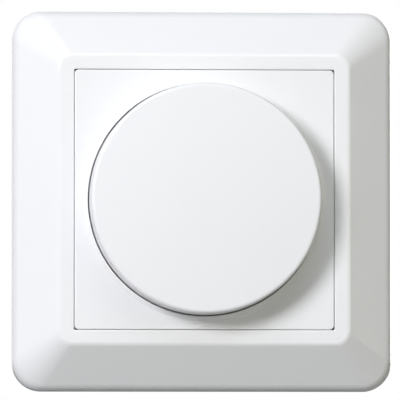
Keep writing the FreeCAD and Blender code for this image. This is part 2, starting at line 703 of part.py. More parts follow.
def make_cover_frame():
    """Moulded frame: steep side, broad slope, flat land, lined opening."""
    body = new_body("cover_frame")
    drop = f"(frame_wall * sqrt({SLOPE_RUN} ^ 2 + {SLOPE_RISE} ^ 2) / {SLOPE_RUN})"
    loft(body, "frame_outside", [
        ("0", "frame_side / 2", "frame_corner"),
        ("-side_height", BROW_HALF, "frame_corner - side_draft"),
        ("-frame_height", LAND_HALF, "land_corner"),
    ])
    round_edges(body, "frame_brow", "brow_round", lambda edge: at_depth(edge, value("-side_height")))
    round_edges(body, "frame_land", "land_round", lambda edge: at_depth(edge, value("-frame_height")))
    hollow_brow = f"(side_height + frame_wall * {SLOPE_RISE} / {SLOPE_RUN} - {drop})"
    hollow_top = "(frame_height - frame_wall)"
    hollow_land = f"{BROW_HALF} - ({hollow_top} + {drop} - side_height) * {SLOPE_RUN} / {SLOPE_RISE}"
    loft(body, "frame_hollow", [
        ("0", "frame_side / 2 - frame_wall", "frame_corner - frame_wall"),
        (f"-{hollow_brow}", f"{BROW_HALF} - frame_wall", "frame_corner - frame_wall"),
        (f"-{hollow_top}", hollow_land, "land_corner / 2"),
    ], away=True)
    prism(body, "frame_rim", "-(frame_height - frame_wall / 2)", STEEL_FRONT,
          lambda sketch: rounded_square(sketch, f"{OPENING_HALF} + rim_wall", "plate_corner + rim_wall"))
    ribs(body)
    prism(body, "frame_opening", "-(frame_height + 1)", LEDGE_FRONT,
          lambda sketch: rounded_square(sketch, OPENING_HALF, "opening_corner"), away=True)
    prism(body, "frame_ledge_opening", f"{LEDGE_FRONT} - 1", "1",
          lambda sketch: rounded_square(sketch, f"{OPENING_HALF} - ledge_width", "plate_corner"), away=True)
    for side in SIDES:
        ends = (f"{side} * ({OPENING_HALF} - ledge_width - 1)",
                f"{side} * (frame_side / 2 - frame_wall - relief_margin)")
        prism(body, f"frame_relief_{side + 1}", f"{STEEL_FRONT} - relief_height", "1",
              lambda sketch: rectangle(sketch, ends[::side], ("-relief_half", "relief_half")), away=True)
    opening_edge = value(f"{OPENING_HALF} + rim_wall / 2")
    round_edges(body, "frame_edge", "rim_edge", lambda edge: at_depth(edge, value("-frame_height"))
                and abs(edge.BoundBox.Center.x) < opening_edge and edge.BoundBox.XMax < opening_edge
                and edge.BoundBox.XMin > -opening_edge and edge.BoundBox.ZMax < opening_edge
                and edge.BoundBox.ZMin > -opening_edge)
    node("cover_frame", body)


def ribs(body):
    """Ribs between the frame's opening and its slope."""
    inner = f"{OPENING_HALF} + rim_wall / 2"
    outer = f"{BROW_HALF} - frame_wall / 2"
    top = "(frame_height - frame_wall * 0.6)"
    foot = "-(steel_gauge + rib_wall / 2)"
    shoulder = f"{outer} - ({top} - side_height) * {SLOPE_RUN} / {SLOPE_RISE}"
    for side in SIDES:
        feature = rib(body, f"frame_rib_{side + 1}", f"{side} * rib_offset", "rib_wall",
                      lambda sketch: outline(sketch, [
                          (inner, foot), (outer, foot), (outer, "-side_height"),
                          (shoulder, f"-{top}"), (inner, f"-{top}")]))
        around(body, f"frame_ribs_{side + 1}", feature, QUARTERS)


def make_centre_plate():
    """Square plate with a round well, a raised collar and a seating ring behind."""
    body = new_body("centre_plate")
    prism(body, "plate_block", PLATE_FRONT, LEDGE_FRONT,
          lambda sketch: rounded_square(sketch, "plate_side / 2", "plate_corner"))
    round_edges(body, "plate_rounding", "plate_edge", lambda edge: at_depth(edge, value(PLATE_FRONT)))
    prism(body, "plate_hollow", f"{PLATE_FRONT} + plate_wall", "0",
          lambda sketch: rounded_square(sketch, "plate_side / 2 - skirt_wall", "plate_corner / 2"), away=True)
    prism(body, "plate_tub", f"{PLATE_FRONT} + plate_wall / 2", FLOOR_BACK,
          lambda sketch: circle(sketch, "0", "0", f"{WELL_RADIUS} + well_wall"))
    prism(body, "plate_well", f"{PLATE_FRONT} - 1", FLOOR_FRONT,
          lambda sketch: circle(sketch, "0", "0", WELL_RADIUS), away=True)
    feature = prism(body, "plate_rib", f"{PLATE_FRONT} + plate_wall / 2", f"{LEDGE_FRONT} - plate_rib_short",
                    corner_rib)
    around(body, "plate_ribs", feature, QUARTERS)
    revolve(body, "plate_collar", [
        (WELL_RADIUS, f"{PLATE_FRONT} + plate_wall / 2"),
        (WELL_RADIUS, f"{PLATE_FRONT} - collar_height"),
        (f"{WELL_RADIUS} + collar_crest", f"{PLATE_FRONT} - collar_height"),
        (f"{WELL_RADIUS} + collar_width", PLATE_FRONT),
        (f"{WELL_RADIUS} + collar_width", f"{PLATE_FRONT} + plate_wall / 2"),
    ])
    inner = "(nut_flats / sqrt(3) + nut_room)"
    prism(body, "plate_ring", f"{FLOOR_BACK} - floor_wall / 2", STEEL_FRONT,
          lambda sketch: circle(sketch, "0", "0", f"{inner} + boss_wall"))
    prism(body, "plate_ring_hollow", FLOOR_BACK, "0",
          lambda sketch: circle(sketch, "0", "0", inner), away=True)
    prism(body, "plate_bore", f"{FLOOR_FRONT} - 1", "0",
          lambda sketch: circle(sketch, "0", "0", "bushing_radius + hole_play"), away=True)
    node("centre_plate", body)


def corner_rib(sketch):
    """Rib from the plate's well to the inside of its corner."""
    inner = f"({WELL_RADIUS} + well_wall / 2) / sqrt(2)"
    outer = "(plate_side / 2 - skirt_wall / 2)"
    lean = "rib_wall / sqrt(2)"
    outline(sketch, [
        (f"{inner} - {lean} / 2", f"{inner} + {lean} / 2"), (f"{outer} - {lean}", outer),
        (outer, f"{outer} - {lean}"), (f"{inner} + {lean} / 2", f"{inner} - {lean} / 2")])


def make_knob():
    """Hollow domed knob with a slotted hub, ribs and a flat in its bore."""
    body = new_body("knob")
    rim_radius = f"({KNOB_RADIUS} - knob_taper)"
    bore = "(shaft_radius + knob_fit)"
    crown_radius = f"(({rim_radius} ^ 2 + knob_crown ^ 2) / (2 * knob_crown))"
    revolve(body, "knob_shell", [
        ("0", f"{KNOB_RIM} - knob_crown"),
        ("0", KNOB_INSIDE),
        (bore, KNOB_INSIDE), (bore, HUB_END), ("hub_radius", HUB_END), ("hub_radius", KNOB_INSIDE),
        (f"{rim_radius} - knob_wall", KNOB_INSIDE), (f"{KNOB_RADIUS} - knob_wall", KNOB_END),
        (KNOB_RADIUS, KNOB_END), (KNOB_RADIUS, PLATE_FRONT), (rim_radius, KNOB_RIM, crown_radius),
    ])
    rim = value(rim_radius)
    round_edges(body, "knob_rounding", "knob_edge", lambda edge: at_depth(edge, value(KNOB_RIM))
                and abs(edge.BoundBox.XMax - rim) < NEAR)
    feature = rib(body, "knob_rib", "0", "rib_wall", lambda sketch: rectangle(
        sketch, ("hub_radius - joint_overlap", f"{rim_radius} - knob_wall / 2"),
        (f"{KNOB_INSIDE} - joint_overlap", KNOB_RIB_END)))
    around(body, "knob_rib_pattern", feature, "knob_ribs")
    prism(body, "knob_key", f"{KNOB_INSIDE} - joint_overlap", HUB_END, lambda sketch: rectangle(
        sketch, ("shaft_flat + knob_fit", "shaft_radius + joint_overlap"),
        ("-shaft_radius * 0.7", "shaft_radius * 0.7")))
    wide, narrow = "hub_radius + clip_wall", "hub_slot / 2"
    for name, x, z in (("across", wide, narrow), ("upright", narrow, wide)):
        prism(body, f"knob_slot_{name}", f"{KNOB_RIB_END} + knob_rib_gap / 2", f"{HUB_END} + 1",
              lambda sketch: rectangle(sketch, (f"-({x})", x), (f"-({z})", z)), away=True)
    node("knob", body)


def make_knob_clip():
    """Open spring ring round the knob's hub."""
    body = new_body("knob_clip")
    revolve(body, "clip_ring", [
        ("hub_radius", CLIP_FRONT), ("hub_radius + clip_wall", CLIP_FRONT),
        ("hub_radius + clip_wall", CLIP_END), ("hub_radius", CLIP_END)], angle=value("clip_angle"))
    node("knob_clip", body)


def make_nuts():
    """Nut and washer that hold the centre plate, and the nut below them."""
    thread = "bushing_radius"
    washer = cut("washer_shape", rod_y("washer_disc", "washer_radius", "0", "0", WASHER_FRONT, FLOOR_FRONT),
                 rod_y("washer_hole", thread, "0", "0", f"{WASHER_FRONT} - 1", f"{FLOOR_FRONT} + 1"))
    node("nut_washer", washer)
    for label, end in (("panel_nut", WASHER_FRONT), ("fixing_nut", STEEL_FRONT)):
        start = f"({end} - nut_height)"
        nut = cut(label + "_shape", hexagon(label + "_hexagon", "nut_flats", start, end),
                  rod_y(label + "_thread", thread, "0", "0", f"{start} - 1", f"{end} + 1"))
        node(label, nut)


# Support plate, claws and housing

def make_support_plate():
    """Stamped steel plate with the box screw slots and the device's own holes."""
    body = new_body("support_plate")
    half = "frame_side / 2 - frame_wall - steel_margin"
    prism(body, "steel_blank", STEEL_FRONT, "0",
          lambda sketch: chamfered_square(sketch, half, "steel_corner"))
    round_edges(body, "steel_rounding", "steel_round", runs_along_y)
    beads(body)
    prism(body, "steel_bore", f"{STEEL_FRONT} - 1", "1",
          lambda sketch: circle(sketch, "0", "0", "bushing_radius + hole_play"), away=True)
    feature = prism(body, "steel_slot", f"{STEEL_FRONT} - 1", "1", lambda sketch: slot(
        sketch, "slot_spacing / 2", "0", "slot_length", "slot_width"), away=True)
    around(body, "steel_slots", feature, QUARTERS)
    for side in SIDES:
        prism(body, f"steel_claw_hole_{side + 1}", f"{STEEL_FRONT} - 1", "1",
              lambda sketch: circle(sketch, f"{side} * claw_x", f"-{side} * claw_z",
                                    "claw_screw + claw_screw_fit"), away=True)
        prism(body, f"steel_boss_hole_{side + 1}", f"{STEEL_FRONT} - 1", "1",
              lambda sketch: circle(sketch, f"{side} * {BOSS_PLACE}", f"{side} * {BOSS_PLACE}",
                                    "tapping_radius + hole_play"), away=True)
    prism(body, "steel_trimmer_hole", f"{STEEL_FRONT} - 1", "1",
          lambda sketch: circle(sketch, "trimmer_x", "trimmer_z", "trimmer_seat"), away=True)
    prism(body, "steel_triac_hole", f"{STEEL_FRONT} - 1", "1", lambda sketch: circle(
        sketch, "-triac_place", "triac_hole", "machine_radius + hole_play"), away=True)
    node("support_plate", body)


def beads(body):
    """Beads pressed into the sheet above and below the middle: raised in front, hollow behind."""
    raised = prism(body, "steel_bead", f"{STEEL_FRONT} - bead_height", STEEL_FRONT,
                   lambda sketch: slot(sketch, "0", "bead_place", "bead_length", "bead_width"))
    around(body, "steel_beads", raised, PAIR)
    bevel_edges(body, "steel_bead_slant", "bead_slant", lambda edge: at_depth(
        edge, value(f"{STEEL_FRONT} - bead_height")))
    hollow = prism(body, "steel_bead_hollow", "-bead_height", "1", lambda sketch: slot(
        sketch, "0", "bead_place", "bead_length - 2 * bead_wall", "bead_width - 2 * bead_wall"), away=True)
    around(body, "steel_bead_hollows", hollow, PAIR)


def slot(sketch, x, z, length, width):
    """Slot with round ends along X."""
    straight = f"({length} - ({width})) / 2"
    half = f"({width}) / 2"
    left, right = f"{x} - {straight}", f"{x} + {straight}"
    top, foot = f"({z} + {half})", f"({z} - {half})"
    outline(sketch, [(left, top), (right, top, half, right), (right, foot), (left, foot, half, left)])


def make_claws():
    """Spreading claws, each with a forked lug on its screw."""
    for side, name in ((1, "right"), (-1, "left")):
        body = new_body("claw_" + name)
        outer = "claw_arm + claw_gauge"
        back = "claw_lug_start + claw_lug"
        middle = f"{-side} * claw_z"
        rib(body, f"claw_{name}_strip", middle, "2 * claw_half", lambda sketch: outline(
            sketch, side_corners(side, [
                ("claw_inner", "claw_lug_start"), ("claw_arm", "claw_lug_start"),
                ("claw_arm", "claw_arm_start"), (outer + " + claw_tooth", "claw_arm_start"),
                (outer, "claw_arm_start + claw_bevel"), (outer, back), ("claw_inner", back)])))
        bends = ((outer, back, "claw_bend + claw_gauge"), ("claw_arm", "claw_lug_start", "claw_bend"))
        for number, (x, y, radius) in enumerate(bends):
            corner = side * value(x), value(y)
            round_edges(body, f"claw_{name}_bend_{number}", radius, lambda edge: runs_along_z(edge, *corner))
        fork = ("claw_inner - 1", "claw_x + claw_screw + claw_screw_fit / 2")
        prism(body, f"claw_{name}_fork", "claw_lug_start - 1", f"{back} + 1", lambda sketch: rectangle(
            sketch, ordered(side, fork),
            (f"{middle} - claw_screw - claw_screw_fit", f"{middle} + claw_screw + claw_screw_fit")),
            away=True)
        notch = ("claw_arm - 1", outer + " + claw_tooth + 1")
        for step in SIDES:
            z = f"{middle} + {step} * claw_notch_place"
            prism(body, f"claw_{name}_notch_{step + 1}", "claw_arm_start - 1", "claw_arm_start + claw_notch",
                  lambda sketch: rectangle(sketch, ordered(side, notch),
                                           (f"{z} - claw_notch_half", f"{z} + claw_notch_half")), away=True)
        node("claw_" + name, body)
        node("claw_screw_" + name, screw_y(
            "claw_screw_" + name, f"{side} * claw_x", middle, "claw_head", "claw_screw", "claw_screw_end"))


def ordered(side, ends):
    """Two distances from the axis as lower and upper X on the given side."""
    signed = [f"{side} * ({end})" for end in ends]
    return signed[::side]


def side_corners(side, corners):
    """Corners given for the right side, put on the given side."""
    return [(f"{side} * ({x})", y) for x, y in corners]


def screw_y(name, x, z, head, shank, end):
    """Slotted pan-head screw through the support plate."""
    start = f"({STEEL_FRONT} - head_height)"
    whole = fuse(name + "_turned", rod_y(name + "_head", head, x, z, start, STEEL_FRONT),
                 rod_y(name + "_shank", shank, x, z, STEEL_FRONT, end))
    slot_block = block(name + "_slot", (f"{x} - {head} - 1", f"{x} + {head} + 1"),
                       (f"{start} - 1", f"{start} + slot_sink"),
                       (f"{z} - slot_cut / 2", f"{z} + slot_cut / 2"))
    return cut(name + "_shape", whole, slot_block)


def make_housing_lid():
    """Insulating lid between support plate and housing."""
    body = new_body("housing_lid")
    prism(body, "lid_blank", "0", "lid_wall",
          lambda sketch: chamfered_square(sketch, "housing_side / 2", "housing_corner"))
    round_edges(body, "lid_rounding", "housing_round", runs_along_y)
    prism(body, "lid_bore", "-1", "lid_wall + 1",
          lambda sketch: circle(sketch, "0", "0", "bushing_radius + hole_play"), away=True)
    half = "(triac_width / 2 + window_margin)"
    prism(body, "lid_window", "-1", "lid_wall + 1", lambda sketch: rectangle(
        sketch, (f"-triac_place - {half}", f"-triac_place + {half}"),
        ("-triac_body - window_margin", "triac_tab + window_margin")), away=True)
    prism(body, "lid_trimmer_hole", "-1", "lid_wall + 1",
          lambda sketch: circle(sketch, "trimmer_x", "trimmer_z", "trimmer_seat"), away=True)
    for side in SIDES:
        prism(body, f"lid_boss_hole_{side + 1}", "-1", "lid_wall + 1",
              lambda sketch: circle(sketch, f"{side} * {BOSS_PLACE}", f"{side} * {BOSS_PLACE}",
                                    "tapping_radius + hole_play"), away=True)
    node("housing_lid", body)


def make_housing_base():
    """Moulded tub with bosses, posts, terminal chambers and the claws' ramps."""
    body = new_body("housing_base")
    prism(body, "base_block", "lid_wall", HOUSING_BACK,
          lambda sketch: chamfered_square(sketch, "housing_side / 2", "housing_corner"))
    back = value(HOUSING_BACK)
    round_edges(body, "base_rounding", "housing_round",
                lambda edge: runs_along_y(edge) or at_depth(edge, back))
    inner_corner = "(housing_corner - housing_wall * (2 - sqrt(2)))"
    floor = f"{INNER_FLOOR} + joint_overlap"
    prism(body, "base_hollow", "0", INNER_FLOOR,
          lambda sketch: chamfered_square(sketch, INNER_HALF, inner_corner), away=True)
    for side in SIDES:
        tag = side + 1
        place_xz = (f"{side} * {BOSS_PLACE}", f"{side} * {BOSS_PLACE}")
        prism(body, f"base_boss_{tag}", "lid_wall", floor,
              lambda sketch: circle(sketch, *place_xz, "boss_radius"))
        prism(body, f"base_boss_hole_{tag}", "0", f"{STEEL_FRONT} + tapping_length + 1",
              lambda sketch: circle(sketch, *place_xz, "tapping_radius"), away=True)
        prism(body, f"base_low_post_{tag}", BOARD_BACK, floor, lambda sketch: circle(
            sketch, f"{side} * ({BOARD_HALF} - post_inset)", "-post_low", "post_radius"))
        prism(body, f"base_high_post_{tag}", BOARD_BACK, floor,
              lambda sketch: circle(sketch, f"{side} * post_in", f"{BOARD_HALF} - post_under", "post_radius"))
        for number in (1, 3):
            middle = f"{side * number} * terminal_pitch / 2"
            prism(body, f"base_divider_{tag}_{number}", "divider_start", floor, lambda sketch: rectangle(
                sketch, (f"{middle} - divider_wall / 2", f"{middle} + divider_wall / 2"),
                (f"-({INNER_HALF} + joint_overlap)", "-(board_foot + divider_gap)")))
    for number in TERMINALS:
        x = f"{number} * terminal_pitch"
        prism(body, f"base_wire_hole_{number + 1}", f"{INNER_FLOOR} - 1", f"{HOUSING_BACK} + 1",
              lambda sketch: circle(sketch, x, "-wire_low", "wire_radius"), away=True)
        drill(body, f"base_access_{number + 1}", x)
    hole = 2 * value("wire_radius")
    bevel_edges(body, "base_funnels", "wire_funnel", lambda edge: at_depth(edge, back)
                and abs(edge.BoundBox.XLength - hole) < NEAR)
    foot = "claw_inner - ramp_gap"
    root = "housing_side / 2 - joint_overlap"
    for side in SIDES:
        middle = f"{side} * (claw_half - rib_wall / 2) - claw_z"
        feature = rib(body, f"base_ramp_{side + 1}", middle, "rib_wall",
                      lambda sketch: outline(sketch, [
                          (root, "ramp_start"), (f"{foot} + claw_out", "ramp_start"),
                          (f"{foot} + claw_out", "claw_lug_start - claw_forward"),
                          (foot, "claw_lug_start"), (root, "claw_lug_start")]))
        around(body, f"base_ramps_{side + 1}", feature, PAIR)
    node("housing_base", body)


def drill(body, name, x):
    """Round driver hole through the housing's lower wall."""
    sketch = sketch_on(body, name + "_sketch", "XY_Plane", f"-({INNER_HALF} - joint_overlap)")
    circle(sketch, x, "terminal_y", "access_radius")
    before = body.Shape.Volume
    feature = body.newObject("PartDesign::Pocket", name)
    feature.Profile = sketch
    bind(feature, Length="housing_wall + 1")
    doc.recompute()
    if body.Shape.Volume >= before:
        raise ValueError(name + " cuts nothing")


def make_housing_screws():
    """Self-tapping screws that clamp plate, lid and tub."""
    screws = [screw_y(f"housing_screw_{side + 1}", f"{side} * {BOSS_PLACE}", f"{side} * {BOSS_PLACE}",
                      "tapping_head", "tapping_radius", f"{STEEL_FRONT} + tapping_length")
              for side in SIDES]
    node("housing_screws", group("housing_screws_group", *screws))


# Potentiometer, shaft and switch

def d_rod(name, radius, flat, start, end):
    """Round rod along Y with one flat, facing right."""
    return common(name, rod_y(name + "_round", radius, "0", "0", start, end),
                  block(name + "_flat", (f"-({radius}) - 1", flat), (f"{start} - 1", f"{end} + 1"),
                        (f"-({radius}) - 1", f"{radius} + 1")))


def make_shaft():
    """Shaft with a flat at the knob and at the rotor, and a groove for its clip."""
    body = new_body("shaft")
    start = f"({KNOB_INSIDE} + shaft_gap)"
    ring = f"({CASE_FRONT} + ring_gap)"
    tip = "shaft_radius - shaft_chamfer"
    revolve(body, "shaft_turned", [
        ("0", start), (tip, start), ("shaft_radius", f"{start} + shaft_chamfer"),
        ("shaft_radius", ring), ("ring_seat", ring),
        ("ring_seat", f"{ring} + ring_gauge"), ("shaft_radius", f"{ring} + ring_gauge"),
        ("shaft_radius", f"{SHAFT_END} - shaft_chamfer"), (tip, SHAFT_END), ("0", SHAFT_END),
    ])
    far = ("shaft_flat", "shaft_radius + 1")
    both = ("-shaft_radius - 1", "shaft_radius + 1")
    prism(body, "shaft_knob_flat", f"{start} - 1", f"{HUB_END} + flat_run",
          lambda sketch: rectangle(sketch, far, both), away=True)
    prism(body, "shaft_rotor_flat", f"{ring} + ring_gauge", f"{SHAFT_END} + 1",
          lambda sketch: rectangle(sketch, far, both), away=True)
    node("shaft", body)


def make_shaft_clip():
    """Open retaining ring in the shaft's groove."""
    start = f"({CASE_FRONT} + ring_gap)"
    end = f"({start} + ring_gauge)"
    disc = rod_y("ring_disc", "ring_radius", "0", "0", start, end)
    seat = rod_y("ring_hole", "ring_seat", "0", "0", f"{start} - 1", f"{end} + 1")
    mouth = block("ring_mouth", ("-ring_seat * 0.8", "ring_seat * 0.8"), (f"{start} - 1", f"{end} + 1"),
                  ("0", "ring_radius + 1"))
    node("shaft_clip", cut("shaft_clip_shape", disc, seat, mouth))


def make_bushing():
    """Threaded bushing with its flange, which guides the shaft."""
    body = new_body("bushing")
    bore = "(shaft_radius + shaft_fit)"
    revolve(body, "bushing_turned", [
        (bore, BUSHING_FRONT), ("bushing_radius - shaft_chamfer", BUSHING_FRONT),
        ("bushing_radius", f"{BUSHING_FRONT} + shaft_chamfer"), ("bushing_radius", "lid_wall"),
        ("case_radius", "lid_wall"), ("case_radius", CASE_FRONT), (bore, CASE_FRONT),
    ])
    node("potentiometer_bushing", body)


def make_potentiometer():
    """Case, track carrier and pins of the potentiometer."""
    body = new_body("pot_case")
    hole = f"({ROTOR_HUB} + turning_gap)"
    revolve(body, "case_drawn", [
        ("case_radius", CASE_FRONT), ("case_radius", CASE_BACK), (hole, CASE_BACK),
        (hole, f"{CASE_BACK} - case_wall"), ("case_radius - case_wall", f"{CASE_BACK} - case_wall"),
        ("case_radius - case_wall", CASE_FRONT),
    ])
    window = ("-track_tab - hole_play", "track_tab + hole_play")
    prism(body, "case_window", f"{TRACK_FRONT} - hole_play", f"{CASE_BACK} + 1",
          lambda sketch: rectangle(sketch, window, ("-case_radius - 1", TAB_ROOT)), away=True)
    node("potentiometer_case", body)

    track_end = f"({TRACK_FRONT} + track_wall)"
    track = new_body("track")
    prism(track, "track_disc", TRACK_FRONT, track_end, lambda sketch: circle(
        sketch, "0", "0", "case_radius - case_wall - hole_play"))
    prism(track, "track_tab_pad", TRACK_FRONT, track_end, lambda sketch: rectangle(
        sketch, ("-track_tab", "track_tab"), ("-pin_place - track_edge", TAB_ROOT)))
    prism(track, "track_bore", f"{TRACK_FRONT} - 1", f"{track_end} + 1",
          lambda sketch: circle(sketch, "0", "0", "track_bore"), away=True)
    node("potentiometer_track", track)

    pins = [rod_y(f"pot_pin_{number + 1}", "pin_radius", f"{number} * pin_pitch", "-pin_place",
                  track_end, PIN_END) for number in TERMINALS]
    node("potentiometer_pins", group("pot_pins", *pins))


def make_wiper():
    """Rotor keyed to the shaft, and its spring contacts."""
    rotor_end = "(rotor_start + rotor_wall)"
    hub_end = f"({rotor_end} + rotor_hub_length)"
    solid = fuse("rotor_solid", rod_y("rotor_disc", ROTOR_RADIUS, "0", "0", "rotor_start", rotor_end),
                 rod_y("rotor_hub_rod", ROTOR_HUB, "0", "0", rotor_end, hub_end))
    key = d_rod("rotor_key", "shaft_radius + shaft_fit", "shaft_flat + shaft_fit",
                "rotor_start - 1", f"{hub_end} + 1")
    node("wiper_rotor", cut("rotor_shape", solid, key))

    sheet_end = f"({rotor_end} + wiper_gauge)"
    outside = f"({ROTOR_RADIUS} - wiper_margin)"
    ring = rod_y("wiper_disc", outside, "0", "0", rotor_end, sheet_end)
    hole = rod_y("wiper_hole", f"{outside} - wiper_width", "0", "0", f"{rotor_end} - 1", f"{sheet_end} + 1")
    middle = f"({outside} - wiper_width / 2)"
    fingers = [block(f"wiper_finger_{side + 1}",
                     (f"{side} * finger_place - finger_half", f"{side} * finger_place + finger_half"),
                     (rotor_end, f"{TRACK_FRONT} - wiper_gap"),
                     (f"{middle} - finger_half", f"{middle} + finger_half")) for side in SIDES]
    node("wiper_contacts", fuse("wiper_shape", cut("wiper_ring", ring, hole), *fingers))


def make_switch():
    """Push switch behind the potentiometer."""
    half_x, half_z = "switch_width / 2", "switch_side / 2"
    inside = (f"{CASE_BACK} + switch_wall", f"{SWITCH_BACK} - switch_wall")
    body = new_body("switch_case")
    prism(body, "switch_block", CASE_BACK, SWITCH_BACK,
          lambda sketch: rectangle(sketch, (f"-{half_x}", half_x), (f"-{half_z}", half_z)))
    hollow_x = "(switch_width / 2 - switch_wall)"
    rib(body, "switch_hollow", "0", "switch_side - 2 * switch_wall",
        lambda sketch: rectangle(sketch, (f"-{hollow_x}", hollow_x), inside), away=True)
    prism(body, "switch_mouth", f"{CASE_BACK} - 1", f"{CASE_BACK} + switch_wall + joint_overlap",
          lambda sketch: circle(sketch, "0", "0", "shaft_radius + turning_gap"), away=True)
    for side in SIDES:
        prism(body, f"switch_pin_hole_{side + 1}", f"{inside[1]} - joint_overlap", f"{SWITCH_BACK} + 1",
              lambda sketch: circle(sketch, f"{side} * contact_place", "0", "pin_radius + pin_play"),
              away=True)
    node("switch_case", body)

    head = f"({SHAFT_END} + tip_gap)"
    seat = f"({head} + plunger_head)"
    node("switch_plunger", fuse(
        "plunger_shape", rod_y("plunger_disc", "plunger_radius", "0", "0", head, seat),
        rod_y("plunger_rod", "plunger_stem", "0", "0", seat, f"{seat} + stem_length")))
    make_spring(seat, inside[1])
    make_lever(seat)
    make_contacts(inside[1])


def make_contacts(wall):
    """Two contacts, each a blade and a pin through the back of the switch case."""
    blade_back = f"({wall} - blade_gap)"
    blade_front = f"({blade_back} - blade_gauge)"
    contacts = []
    for side in SIDES:
        x = f"{side} * contact_place"
        pin = rod_y(f"contact_pin_{side + 1}", "pin_radius", x, "0", blade_front, PIN_END)
        blade = block(f"contact_blade_{side + 1}", (f"{x} - blade_half", f"{x} + blade_half"),
                      (blade_front, blade_back), ("-blade_reach", "blade_reach"))
        contacts.append(fuse(f"contact_{side + 1}", pin, blade))
    node("switch_contacts", group("contacts_shape", *contacts))


def make_spring(start, end):
    """Return spring between the plunger and the switch case."""
    height = f"(({end}) - ({start}) - 2 * spring_wire)"
    helix = doc.addObject("Part::Helix", "spring_path")
    bind(helix, Radius="spring_radius", Height=height, Pitch=f"{height} / spring_turns")
    section = doc.addObject("Part::Circle", "spring_section")
    section.Placement = Placement(Vector(value("spring_radius"), 0, 0), ALONG["Y"])
    bind(section, Radius="spring_wire", Placement__Base__x="spring_radius")
    doc.recompute()
    spring = doc.addObject("Part::Sweep", "spring_shape")
    spring.Sections = [section]
    spring.Spine = (helix, ["Edge1"])
    spring.Solid = True
    spring.Frenet = True
    spring.Placement.Rotation = ALONG["Y"]
    place(spring, "0", f"{start} + spring_wire", "0")
    node("return_spring", spring)


def make_lever(seat):
    """Rocking lever that the plunger's head tips."""
    body = new_body("lever")
    swing = "(push_travel / 2)"
    pivot_y = f"({seat} + lever_gap + {swing} + lever_gauge / 2)"
    tip_x = "(lever_pivot - lever_reach)"
    far_x = "(lever_pivot + lever_tail)"
    slope = f"({swing} / lever_reach)"
    half = "lever_gauge / 2"
    rib(body, "lever_arm", "0", "2 * lever_half", lambda sketch: outline(sketch, [
        (tip_x, f"{pivot_y} - {swing} - {half}"), (far_x, f"{pivot_y} + lever_tail * {slope} - {half}"),
        (far_x, f"{pivot_y} + lever_tail * {slope} + {half}"), (tip_x, f"{pivot_y} - {swing} + {half}")]))
    rib(body, "lever_pivot_pin", "0", "switch_side - 2 * switch_wall - 2 * hole_play",
        lambda sketch: circle(sketch, "lever_pivot", pivot_y, "lever_pin"))
    node("switch_lever", body)


# Circuit board and what it carries

def make_circuit_board():
    """Board that hangs on posts in the tub, with one corner cut for a boss."""
    body = new_body("board")
    prism(body, "board_blank", BOARD_FRONT, BOARD_BACK,
          lambda sketch: chamfered_square(sketch, BOARD_HALF, "board_corner", low="board_foot"))
    prism(body, "board_notch", f"{BOARD_FRONT} - 1", f"{BOARD_BACK} + 1", lambda sketch: circle(
        sketch, BOSS_PLACE, BOSS_PLACE, "boss_radius + board_clear"), away=True)
    leads = [(f"{number} * pin_pitch", "-pin_place") for number in TERMINALS]
    leads += [(f"{side} * contact_place", "0") for side in SIDES]
    for number, (x, z) in enumerate(leads):
        prism(body, f"board_hole_{number}", f"{BOARD_FRONT} - 1", f"{BOARD_BACK} + 1",
              lambda sketch: circle(sketch, x, z, "pin_radius + pin_play"), away=True)
    lead_holes(body)
    node("circuit_board", body)


def lead_holes(body):
    """Holes for the leads of the triac, the resistors, the diac and the choke."""
    places = [(f"-triac_place + {number} * triac_pitch", "-triac_body - triac_foot + triac_lead / 2",
               "triac_lead") for number in TERMINALS]
    wire = "lead_radius + pin_play"
    for end in SIDES:
        for number in TERMINALS:
            places.append((f"-resistor_place + {number} * resistor_pitch",
                           f"{end} * (resistor_length / 2 + lead_bend) - resistor_low", wire))
        places.append(("-diac_place", f"{end} * (diac_length / 2 + lead_bend) - resistor_low", wire))
        places.append((f"-choke_place + {end} * core_outer * 0.7", "choke_place - core_outer * 0.7",
                       "wire_gauge / 2 + pin_play"))
    for number, (x, z, radius) in enumerate(places):
        prism(body, f"board_lead_{number}", f"{BOARD_FRONT} - 1", f"{BOARD_BACK} + 1",
              lambda sketch: circle(sketch, x, z, radius), away=True)


def make_choke():
    """Interference choke: ring core and its winding."""
    back = f"({BOARD_FRONT} - board_stand - wire_gauge)"
    front = f"({back} - core_height)"
    middle = ("-choke_place", "choke_place")
    node("choke_core", cut("core_shape", rod_y("core_disc", "core_outer", *middle, front, back),
                           rod_y("core_hole", "core_inner", *middle, f"{front} - 1", f"{back} + 1")))

    body = new_body("winding")
    body.AllowCompound = True
    place(body, "-choke_place", "0", "choke_place")
    loop = rib(body, "winding_loop", "0", "wire_gauge", lambda sketch: winding_section(sketch, front, back))
    around(body, "winding_pattern", loop, "winding_turns")
    leads = [rod_y(f"choke_lead_{end + 1}", "wire_gauge / 2", f"-choke_place + {end} * core_outer * 0.7",
                   "choke_place - core_outer * 0.7", f"{BOARD_FRONT} - board_stand", PIN_END)
             for end in SIDES]
    node("choke_winding", group("winding_shape", body, *leads))


def winding_section(sketch, front, back):
    """One turn of wire round the core's section."""
    rectangle(sketch, ("core_inner - winding_gap - wire_gauge", "core_outer + wire_gauge"),
              (f"{front} - wire_gauge", f"{back} + wire_gauge"))
    rectangle(sketch, ("core_inner - winding_gap", "core_outer"), (front, back))


def make_capacitors():
    """Film capacitor and timing capacitor, both standing on the board."""
    for label, name in (("film_capacitor", "film"), ("timing_capacitor", "timing")):
        box = block(name + "_box", (f"-{name}_width / 2", f"{name}_width / 2"),
                    (f"{BOARD_FRONT} - {name}_height", BOARD_FRONT),
                    (f"{name}_place - {name}_thick / 2", f"{name}_place + {name}_thick / 2"))
        node(label, rounded(name + "_shape", box, "case_round"))


